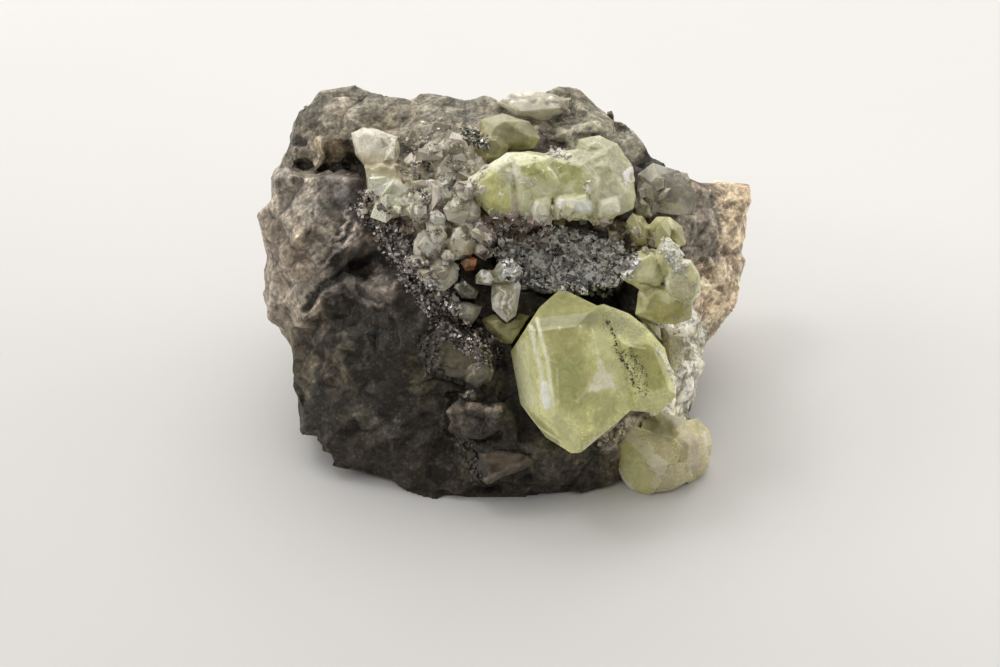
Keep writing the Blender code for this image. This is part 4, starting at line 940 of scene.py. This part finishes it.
def crystal_piece(name, crystal, material, seed):
    """One crystal of the solids, with its relief, tints, clearness and frost."""
    if crystal.edge:
        mesh = flat_faced(name, crystal.edge, crystal.cell)
    else:
        mesh = remeshed(name, crystal.cell)
    points, out = points_and_out(mesh)
    face = on_face(points)
    low, own, _ = fracture(face, crystal.bumps, seed, 0.55, 0.55)
    fine, _, _ = fracture(face, crystal.bumps * 0.45, seed + 1, 0.5, 0.6)
    rise = -crystal.relief * (low + 0.5 * fine)
    if crystal.terrace:
        rise += crystal.terrace * np.round(2.2 * noises(face, 1.5, seed + 2, 2))
    marks = [Mark(*row) for row in crystal.marks]
    shares = mark_shares(marks, face, out @ FACE_OUT > -0.2, seed + 3)
    for mark, share in zip(marks, shares):
        rise += mark.lift * share
    raise_points(mesh, points, out, rise)

    cloud = smooth(-0.6, 0.6, noises(face, 1.8, seed + 4) + (own - 0.5) * 0.6)
    tint = blend(np.tile(crystal.deep, (len(face), 1)), crystal.light, cloud)
    facet = hashed(np.round(out * 3 + 8), seed, 1)
    tint *= 1 + crystal.facets * (2 * facet - 1)
    ridge = sharpness(mesh)
    # painted shade darkens the creases, and a painted highlight whitens the sharp edges by its rim
    # highlight value
    tint *= 1 - 0.45 * smooth(0.03, 0.25, -ridge)[:, None]
    tint = blend(tint, WHITE, crystal.rim_highlight * smooth(0.02, 0.20, ridge))
    clear = crystal.clear * (1.12 - 0.30 * cloud)[:, None]
    frost = np.full((len(face), 1), crystal.frost)
    for mark, share in zip(marks, shares):
        tint = blend(tint, mark.tint, share)
        clear = blend(clear, mark.clear, share)
        frost = blend(frost, mark.frost, share)
    values = {"clear": np.clip(clear[:, 0], 0, 0.95), "frost": frost[:, 0],
              "veins": np.full(len(face), crystal.veins)}
    return painted_object(mesh, tint, values, CRYSTAL_SHARP,
                          f"{name}_finish", material, crystal.slot, name)


def crystal_pieces():
    finishes = {slot: crystal_material(slot, *look) for slot, *look in CRYSTAL_MATERIALS}
    return [
        crystal_piece(name, crystal, finishes[crystal.slot], CRYSTAL_SEED + SEED_STEP * k)
        for k, (name, crystal) in enumerate(CRYSTALS.items())
    ]


# ---------------------------------------------------------------- vug lining

LINING_VOXEL = 0.15
LINING_SHARP = 30
LINING_RELIEF = (-0.45, 0.30)


def vug_lining(material):
    """The crust of the vug, uneven and sparkling, with painted shade in its deep parts and creases,
    in place of its smooth solid.
    """
    mesh = remeshed("vug_crust", LINING_VOXEL)
    points, out = points_and_out(mesh)
    face = on_face(points)
    low, _, _ = fracture(face, 1.5, 71, 0.8, 0.6)
    fine, small_own, crack = fracture(face, 0.5, 72, 0.8, 0.6)
    rise = -0.45 * low - 0.5 * fine + 0.12 * noises(face, 0.5, 73)
    raise_points(mesh, points, out, np.clip(rise, *LINING_RELIEF))
    tint = np.tile((5.5, 5.0, 4.6), (len(face), 1))
    tint = blend(tint, (26, 24.5, 21.5), smooth(0.35, 0.95, small_own))
    # painted shade: the deepest parts of the lining go near black
    tint = blend(tint, (1.2, 1.1, 1.1), smooth(0.0, 0.5, low))
    # painted shade in the creases between its facets, through the hollow value
    values = {"speckle": np.full(len(face), 0.8), "hollow": (1 - smooth(0.0, 0.08, crack)) * 0.6}
    return painted_object(mesh, tint, values, LINING_SHARP,
                          "vug_lining", material, "druse", "vug_crust")


# ---------------------------------------------------------------- beds of small crystals

BED_DEPTH = VIEW_DISTANCE + 9.0  # no crystal stands farther from the camera than this
BED_SEED = 900  # of the first bed; each next one has the next seed
SHARD_SEED = 5
BLACK = (2.0, 1.7, 1.4)
CLEAR_LIGHT = (96, 92, 78)
GLINT = (95, 93, 87)

# Slot, then name, roughness, clearness and light bending of the material of each finish
GRAIN_FINISHES = {
    "glint": ("druse", "dark_grains", 0.16, 0.0, 2.0),
    "black": ("druse", "black_specks", 0.5, 0.0, 1.5),
    "clear": ("quartz", "clear_grains", 0.05, 0.50, 1.55),
    "frost": ("milky_quartz", "frosted_grains", 0.30, 0.25, 1.55),
}


class Bed(NamedTuple):
    """A patch of small crystals, seen from in front. Sizes are in millimetres."""

    name: str
    finish: str
    path: tuple
    reach: float
    density: float  # crystals in a square millimetre; 0 is one crystal at each point of the path
    sizes: tuple
    dark: tuple
    light: tuple
    skew: float = 1.0  # above 1 most of them are dark
    shape: str = "block"
    tall: float = 1.0
    lean: float = 0.6
    sink: float = 0.0
    facets: float = 0.45  # how much lighter or darker its facets are than each other
    glints: float = 0.04  # share of its facets painted near white as glints, a painted highlight


BEDS = [
    # the vug
    Bed("vug_druse", "glint", (0.7, 8.4, 5.4, 7.6, 10.6, 6.4), 2.1, 38, (0.1, 0.62), BLACK,
        (100, 97, 90), 1.1, facets=0.8, glints=0.26),
    Bed("vug_druse_low", "glint", (1.1, 5.8, 5.4, 4.8, 9.5, 4.4), 1.2, 34, (0.1, 0.56), BLACK,
        (100, 97, 90), 1.2, facets=0.8, glints=0.24),
    Bed("vug_glints", "clear", (1.8, 7.5, 5.4, 6.8, 9.4, 5.8), 2.2, 5, (0.14, 0.5), (72, 70, 64),
        (100, 98, 92), 0.8, glints=0.3),
    Bed("vug_purple", "glint", (-0.9, 9.4, 1.1, 9.6, 3.2, 9.1), 1.4, 16, (0.25, 0.9),
        (8.5, 5.6, 4.7), (50, 37, 31), 1.3, facets=0.6, glints=0.06),
    Bed("vug_big_grains", "clear", (3.1, 5.5, 4.7, 4.8, 9, 5.7), 1, 2.2, (0.5, 1.2), (40, 41, 34),
        (86, 86, 76), 1, "shard", 0.8, glints=0.1),
    Bed("vug_yellow", "frost", (7.8, 5.2), 0.25, 14, (0.2, 0.35), (55, 48, 20), (70, 62, 32)),
    # dark druse down from the milky crystal
    Bed("dark_druse", "glint", (-12.1, 11.6, -10.1, 9.4, -8.6, 6.4, -5.9, 2.8, -3.6, -0.1,
        -0.9, -1.5), 1.5, 28, (0.1, 0.46), (2.6, 2.1, 1.8), (38, 31, 27), 1.6, facets=0.7,
        glints=0.05),
    Bed("dark_glints", "clear", (-10.3, 10, -8.5, 7, -5.4, 3), 1.8, 1.6, (0.16, 0.45), (66, 62, 53),
        CLEAR_LIGHT, 0.8, shape="flake", tall=0.5, glints=0.3),
    Bed("brown_grains", "clear", (-9.7, 10.5, -7.7, 9.4), 0.8, 3, (0.4, 1.1), (20, 14.5, 10.5),
        (62, 49, 37), 1.2, "shard", 0.8, facets=0.5),
    # milky crystal's uneven flanks
    Bed("milky_lumps", "frost", (-12.2, 17.4, -10.8, 16.7, -9.5, 15.8, -8.6, 16.2, -7.7, 15.6,
        -8.8, 14.9), 0, 0, (2, 3.4), (72, 66.5, 53), (86, 80, 66), 1, "shard", 0.7, 0.4, 0.6, 0.08,
        0),
    Bed("pale_shards", "frost", (-11.9, 11.4, -9.7, 12.2, -7.6, 11.4), 1.1, 5, (0.5, 1.5),
        (74, 72, 50), (100, 99, 82), 0.8, "shard", 0.7, 0.6, 0.2, 0.16, 0.06),
    Bed("pale_facets", "frost", (-11, 13, -9.9, 12.9, -9, 12.3, -7.9, 12.7, -10.4, 11.5,
        -8.8, 11.4), 0, 0, (2, 2.9), (80, 80, 60), (100, 100, 86), 1, "shard", 0.6, 0.4, 0.4, 0.16,
        0.04),
    # pinkish grey granular band
    Bed("pinkish_band", "clear", (-7.2, 11.7, -5.4, 13.2, -3.1, 14.3), 1.8, 7, (0.35, 1.6),
        (62, 53, 42), (100, 95, 82), 0.8, "shard", 0.8, 0.7, 0.1, 0.25, 0.08),
    Bed("pinkish_grains", "frost", (-7.6, 11.2, -5.4, 13.4, -2.7, 14.8), 1.9, 14, (0.1, 0.42),
        (36, 30, 23), (100, 94, 80), 0.9, glints=0.08),
    Bed("pinkish_white", "frost", (-3.1, 12.9, -1.8, 12.9), 0.6, 9, (0.3, 1.1), (76, 66, 56),
        (97, 90, 80), 1, "shard", facets=0.12),
    Bed("pale_wedge", "frost", (-4.3, 17.4, -3.6, 18.3), 0.5, 6, (0.5, 1.3), (62, 53, 44),
        (84, 76, 65), 1, "shard", facets=0.15),
    Bed("black_specks", "glint", (-7.4, 13.9, -6.6, 11.5), 0.5, 20, (0.12, 0.36), BLACK,
        (6, 5.5, 4.5)),
    Bed("black_specks_upper", "glint", (-7.6, 15.3, -6.5, 15.1), 0.5, 20, (0.12, 0.36), BLACK,
        (6, 5.5, 4.5)),
    Bed("black_green_grains", "black", (-3.1, 17.9, -1.5, 17.2), 0.8, 22, (0.14, 0.42),
        (2, 2.2, 1.6), (12, 13, 9), 1.5),
    Bed("grey_stones", "clear", (-7, 17.9, -5.6, 18, -6.3, 16.8, -5, 17.1), 0, 0, (2.6, 3.6),
        (38, 34, 27), (54, 48, 38), 1, "shard", 0.7, 0.4, 0.5, 0.15, 0.03),
    Bed("cream_shards", "clear", (-6.5, 14.5, -5.4, 14.1, -5.9, 13, -4.9, 12.7, -6.5, 12,
        -3.8, 12.3, -2.9, 12.9), 0, 0, (1.9, 2.9), (80, 71, 57), (99, 92, 78), 1, "shard", 0.7,
        0.5, 0.4, 0.18, 0.08),
    Bed("pinkish_stone", "frost", (-3.4, 15.8, -2.5, 15.3), 0, 0, (2.6, 3.2), (52, 46, 37),
        (62, 55, 45), 1, "shard", 0.7, 0.4, 0.5, 0.12, 0.05),
    Bed("olive_stones", "clear", (-4.3, 13.6, -3.3, 13.7), 0, 0, (1.8, 2.4), (36, 31, 20),
        (44, 38, 25), 1, "shard", 0.7, 0.4, 0.4, 0.2, 0.06),
    Bed("upper_left_grains", "frost", (-8.5, 16.5, -5.4, 17.4, -2.9, 16.5), 2.3, 5, (0.12, 0.4),
        (34, 29, 22), (84, 76, 60), 1.1),
    # quartz cluster
    Bed("quartz_shards", "clear", (-5.8, 10.7, -4.5, 8.4, -5.6, 5.5), 2.4, 1, (0.6, 1.7),
        (74, 66, 49), CLEAR_LIGHT, 1, "shard", 0.9, 0.6, 0.3, 0.3, 0.14),
    Bed("quartz_tops", "clear", (-5.6, 11.2, -5, 10.7, -3.7, 11.8, -2.6, 11.3), 0, 0, (2.2, 2.9),
        (92, 86, 68), (100, 97, 82), 1, "shard", 0.8, 0.4, 0.7, 0.14, 0.1),
    Bed("brown_glass", "glint", (-1.2, 7), 0, 0, (1.5, 1.6), (7.5, 5, 4), (9, 6, 5), 1, "shard", 1,
        0.3, 0.2, 0.5, 0.05),
    Bed("long_crystal", "clear", (-1.5, 8.7), 0, 0, (1.1, 1.2), (80, 74, 56), CLEAR_LIGHT, 1,
        "prism", 2.2, 0.3, 0, 0.4, 0.1),
    Bed("quartz_crumbs", "clear", (-4, 10.9, -4.7, 7.9, -5.6, 4.3), 3, 1.6, (0.15, 0.6),
        (42, 36, 26), CLEAR_LIGHT, 1, facets=0.6, glints=0.15),
    Bed("yellow_green_grains", "clear", (-8.6, 14.8, -7.2, 13.6), 0.9, 8, (0.3, 0.95),
        (56, 56, 34), (96, 96, 74), 1, "shard", 0.7, glints=0.12),
    # upper crystal
    Bed("upper_white_bit", "frost", (4.7, 16.4, 5.9, 16.1), 0.5, 22, (0.18, 0.5), (70, 66, 56),
        (95, 92, 84)),
    Bed("upper_granules", "frost", (-0.7, 10.9, 0.3, 10.7), 0.4, 22, (0.14, 0.32), (62, 60, 38),
        (92, 90, 74)),
    # white flakes: partly white cracks, partly painted glints inside the crystal
    Bed("upper_fracture_glints", "frost", (2.2, 14.7, 5, 14.1, 9, 13.2), 1.6, 7, (0.12, 0.6),
        (90, 90, 66), (100, 100, 90), 1, "flake", 0.04, 1.4, 0.1, 0.1, 0.3),
    Bed("upper_toe_blocks", "clear", (2.7, 10.7, 5.4, 10.5, 8.5, 10.7), 0.7, 3, (0.4, 1.1),
        (80, 78, 52), (97, 96, 80), 1, "block", 1, 0.5, 0.1, 0.2, 0.08),
    # right crystals
    Bed("right_grey_points", "clear", (10.6, 9.3, 12.1, 8.4, 13.3, 7.8), 0.9, 3, (0.3, 1),
        (40, 36, 24), (78, 73, 56), 1, "prism", 0.9),
    Bed("right_ridge", "frost", (14.4, 8.5, 15.3, 7.3, 16.2, 6), 0.9, 20, (0.12, 0.4),
        (60, 58, 40), (98, 96, 84), facets=0.5, glints=0.16),
    Bed("right_green_stones", "clear", (12.4, 9.8, 14, 9.1), 0, 0, (2.2, 2.6), (74, 70, 38),
        (86, 81, 46), 1, "shard", 0.9, 0.3, 0.2, 0.16, 0.04),
    Bed("right_grey_stones", "frost", (12.6, 12.2, 14.8, 11.8, 13.5, 11.2, 16, 10), 0, 0,
        (1.7, 2.8), (40, 37, 28), (56, 52, 41), 1, "shard", 0.6, 0.6, 0.7, 0.08, 0),
    Bed("right_pinkish", "clear", (9.5, 10, 11.7, 8.4), 1, 6, (0.25, 0.95), (38, 29, 22),
        (86, 74, 58), 1, "block", 0.8),
    Bed("right_rock_grains", "frost", (16.7, 0.1, 16.7, -1.5, 17.1, -3.5), 1.1, 7, (0.2, 0.8),
        (62, 55, 41), (95, 90, 74), facets=0.25),
    # main crystal
    Bed("twin_specks", "black", (9.7, 1.1, 10.3, -0.1, 10.4, -1.3, 11, -2.4, 11.7, -3.4,
        12.1, -4.8), 0.16, 60, (0.06, 0.18), BLACK, (5, 4.5, 2), glints=0),
    Bed("twin_speck_field", "black", (11.5, -1.9, 12.4, -3.1, 12.7, -5.1), 0.85, 36, (0.045, 0.11),
        BLACK, (7, 6, 2), glints=0),
    Bed("twin_edge_grains", "frost", (13.9, -1.2, 15.1, -2.7, 15.8, -5), 0.22, 26, (0.08, 0.24),
        (80, 77, 52), (100, 98, 86), glints=0.1),
    Bed("main_inclusion", "frost", (9.1, -3.7, 9.5, -4.5, 8.3, -4.8), 0.55, 14, (0.12, 0.4),
        (84, 75, 58), (100, 95, 84), 1, "flake", 0.3, 1, 0.3, 0.2),
    # lower right
    Bed("disc_frost", "frost", (16, 4.6, 16.9, 3.7), 1.3, 26, (0.05, 0.15), (50, 47, 30),
        (98, 96, 84), 1.3, facets=0.5, glints=0.2),
    Bed("lower_right_bits", "frost", (10.8, -8.2, 11.2, -8.3), 0.3, 18, (0.2, 0.5), (70, 66, 52),
        (90, 87, 76)),
    Bed("lower_right_grains", "frost", (9.5, -9.6, 10.6, -9.3), 0.7, 7, (0.25, 0.8), (34, 29, 21),
        (66, 58, 44)),
    Bed("chip", "clear", (-3.2, -5.3, -2.3, -5.5), 0.35, 6, (0.4, 0.8), (30, 28, 22), (66, 62, 50),
        1, "block", 0.7),
    Bed("smoky_edge_grains", "black", (-5.6, 0.4, -6.4, -1.2, -5.9, -3.1), 0.9, 16, (0.15, 0.6),
        (3.4, 2.8, 2), (11, 9.4, 6.6), 1.1, facets=0.5, glints=0),
    Bed("brown_edge_grains", "black", (-3.1, -10.2, -2.2, -12.7), 0.8, 22, (0.15, 0.6),
        (3, 2.5, 1.8), (8.5, 7.2, 5), 1.2, facets=0.5, glints=0),
]


def ringed_shape(corners, caps, pointed=False):
    """Corners and triangles of a crystal between a lower and an upper ring of corners. The tip of
    a pointed one is its last corner."""
    count = len(corners) // 2
    faces = []
    for k in range(count):
        n = (k + 1) % count
        faces += [(k, n, count + n), (k, count + n, count + k)]
        if pointed:
            faces.append((count + k, count + n, 2 * count))
    return np.array(corners), np.array(faces + caps)


def prism_shape():
    """A six-sided crystal with a pointed end, one unit wide and long."""
    rings = [(math.cos(turn) / 2, math.sin(turn) / 2, height)
             for height in (-0.35, 0.55) for turn in [math.radians(60 * k) for k in range(6)]]
    caps = [(0, 2, 1), (0, 3, 2), (0, 4, 3), (0, 5, 4)]
    return ringed_shape([*rings, (0.0, 0.0, 1.0)], caps, True)


def block_shape(bottom):
    """A small uneven block, partly sunk in what it sits on."""
    corners = [
        (-0.5, -0.45, bottom), (0.5, -0.5, bottom), (0.45, 0.5, bottom), (-0.5, 0.4, bottom),
        (-0.44, -0.38, 0.5), (0.46, -0.40, 0.40), (0.36, 0.44, 0.56), (-0.42, 0.34, 0.44),
    ]
    return ringed_shape(corners, [(4, 5, 6), (4, 6, 7), (0, 2, 1), (0, 3, 2)])


def shard_shape():
    """A broken lump, about one unit wide."""
    bm = bmesh.new()
    for out in np.random.default_rng(SHARD_SEED).normal(0, 1, (11, 3)):
        bm.verts.new(out / np.linalg.norm(out) * 0.55)
    bmesh.ops.convex_hull(bm, input=bm.verts)
    bm.verts.index_update()
    corners = np.array([v.co for v in bm.verts])
    faces = np.array([[v.index for v in face.verts] for face in bm.faces])
    bm.free()
    return corners, faces


SHAPES = {"prism": prism_shape(), "block": block_shape(-0.3), "flake": block_shape(-0.5),
          "shard": shard_shape()}


def planted(bed, rng, surface):
    """Where a bed's crystals stand, and which way is out there."""
    kept = path_points(bed.path)
    if bed.density:
        low, high = kept.min(0) - bed.reach, kept.max(0) + bed.reach
        tries = rng.uniform(low, high, (int(bed.density * np.prod(high - low)), 2))
        chance = rng.random(len(tries))
        kept = tries[chance > smooth(0.7, 1.0, path_distance(tries, bed.path) / bed.reach)]
    eye = Vector(from_face([[0.0, 0.0, VIEW_DISTANCE]])[0])
    places, ups = [], []
    for target in from_face(np.column_stack([kept, np.zeros(len(kept))])):
        found, up, _, _ = surface.ray_cast(eye, Vector(target) - eye)
        if found is not None and (found - eye).length < BED_DEPTH * MM:
            places.append(found)
            ups.append(up)
    return np.array(places), np.array(ups)


def bed_piece(bed, seed, surface, slot, material):
    """A bed of small crystals in one mesh."""
    rng = np.random.default_rng(seed)
    places, ups = planted(bed, rng, surface)
    corners, faces = SHAPES[bed.shape]
    count = len(places)
    places = places - ups * bed.sink * rng.uniform(0.6, 1.4, (count, 1)) * MM
    up = ups + rng.normal(0, bed.lean, (count, 3))
    up /= np.linalg.norm(up, axis=1)[:, None]
    side = np.cross(up, rng.normal(0, 1, (count, 3)))
    side /= np.linalg.norm(side, axis=1)[:, None]
    across = np.cross(up, side)
    small, large = bed.sizes
    widths = small + (large - small) * rng.random(count) ** 2.4
    uneven = corners[None] * (1 + rng.uniform(-0.14, 0.14, (count, len(corners), 3)))
    uneven = uneven * rng.uniform(0.75, 1.25, (count, 1, 3)) * (widths * MM)[:, None, None]
    uneven[..., 2] *= bed.tall * rng.uniform(0.7, 1.3, (count, 1))
    points = places[:, None]
    for k, axis in enumerate((side, across, up)):
        points = points + uneven[..., k:k + 1] * axis[:, None]
    points = points.reshape(-1, 3)
    points[:, 2] = np.maximum(points[:, 2], 0.0)
    every = (faces[None] + (np.arange(count) * len(corners))[:, None, None]).reshape(-1, 3)
    mesh = bpy.data.meshes.new(bed.name)
    mesh.from_pydata(points, [], every)
    patch = 1 + 0.85 * noises(on_face(places), 1.7, seed, 2)
    tone = np.clip(rng.random(count) ** bed.skew * patch, 0.0, 1.0)
    tints = blend(np.tile(bed.dark, (count, 1)), bed.light, tone)
    facet = rng.uniform(-1, 1, (count, len(faces), 1))
    tints = tints[:, None] * (1 + bed.facets * facet)
    # painted glints: a share of facets tinted near white
    tints[rng.random((count, len(faces))) < bed.glints] = GLINT
    set_tints(mesh, tints.reshape(-1, 3), "FACE")
    dressed_object(mesh, bed.name, material, slot)


def bed_pieces(surface):
    finishes = {key: (slot, grain_material(*look))
                for key, (slot, *look) in GRAIN_FINISHES.items()}
    for k, bed in enumerate(BEDS):
        bed_piece(bed, BED_SEED + k, surface, *finishes[bed.finish])


# ---------------------------------------------------------------- stage and light

CAMERA_LENS = 140.0
FLOOR_SIZE = 6.0
FLOOR_COLOUR = (0.72, 0.709, 0.697)
FLOOR_BACK = (0.35, 1.0, 0.0)  # which way the floor's painted shade fades and it gets lighter
SKY_COLOUR = (1.0, 0.985, 0.965, 1.0)
SKY_BRIGHT = 0.92
SKY_DIM = 0.06
SKY_FROM = (0.0, 0.66, 0.75)  # where the soft light is brightest
LAMP_WHITE = (1.0, 0.985, 0.955)
LIGHTS = [
    # name, place in metres, width, power in watts, colour
    ("key", (-0.02, 0.54, 0.58), 0.95, 4.6, LAMP_WHITE),
    ("left", (-0.62, -0.04, 0.34), 0.50, 1.7, LAMP_WHITE),
    ("right", (0.62, 0.12, 0.30), 0.45, 0.9, LAMP_WHITE),
    ("sparkle", (-0.34, 0.16, 0.72), 0.20, 0.7, LAMP_WHITE),
    ("fill", (-0.20, -0.50, 0.55), 0.50, 0.20, (1.0, 0.99, 0.98)),
]


def stage_and_light():
    scene = bpy.context.scene
    camera = bpy.data.cameras.new("camera")
    camera.lens = CAMERA_LENS
    camera.clip_start = 0.01
    held = bpy.data.objects.new("camera", camera)
    scene.collection.objects.link(held)
    held.matrix_world = FACE_FRAME @ Matrix.Translation((0, 0, VIEW_DISTANCE * MM))
    scene.camera = held

    bpy.ops.mesh.primitive_plane_add(size=FLOOR_SIZE, location=(0, 0, 0))
    floor = bpy.context.active_object
    floor.name = "floor"
    floor.data.materials.append(floor_material())

    scene.world = bpy.data.worlds.new("studio")
    scene.world.use_nodes = True
    tree = scene.world.node_tree
    direction = add_node(tree, "ShaderNodeTexCoord", {}, "Generated")
    toward = add_node(tree, "ShaderNodeVectorMath", {0: direction, 1: SKY_FROM}, "Value",
                      operation="DOT_PRODUCT")
    strength = add_node(tree, "ShaderNodeMapRange", {
        "Value": toward, "From Min": -0.2, "To Min": SKY_DIM, "To Max": SKY_BRIGHT})
    fill(tree, tree.nodes["Background"], {"Color": SKY_COLOUR, "Strength": strength})

    for name, place, size, power, colour in LIGHTS:
        light = bpy.data.lights.new(name, "AREA")
        light.size, light.energy, light.color = size, power, colour
        lamp = bpy.data.objects.new(name, light)
        scene.collection.objects.link(lamp)
        lamp.location = place
        lamp.rotation_euler = (-Vector(place)).to_track_quat("-Z", "Y").to_euler()

    scene.view_settings.view_transform = "Standard"


def main():
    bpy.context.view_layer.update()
    rock = rock_piece()
    crystals = crystal_pieces()
    lining = vug_lining(rock.data.materials[0])
    surface, _ = tree_of([piece.data for piece in (rock, lining, *crystals)])
    bed_pieces(surface)
    stage_and_light()


main()
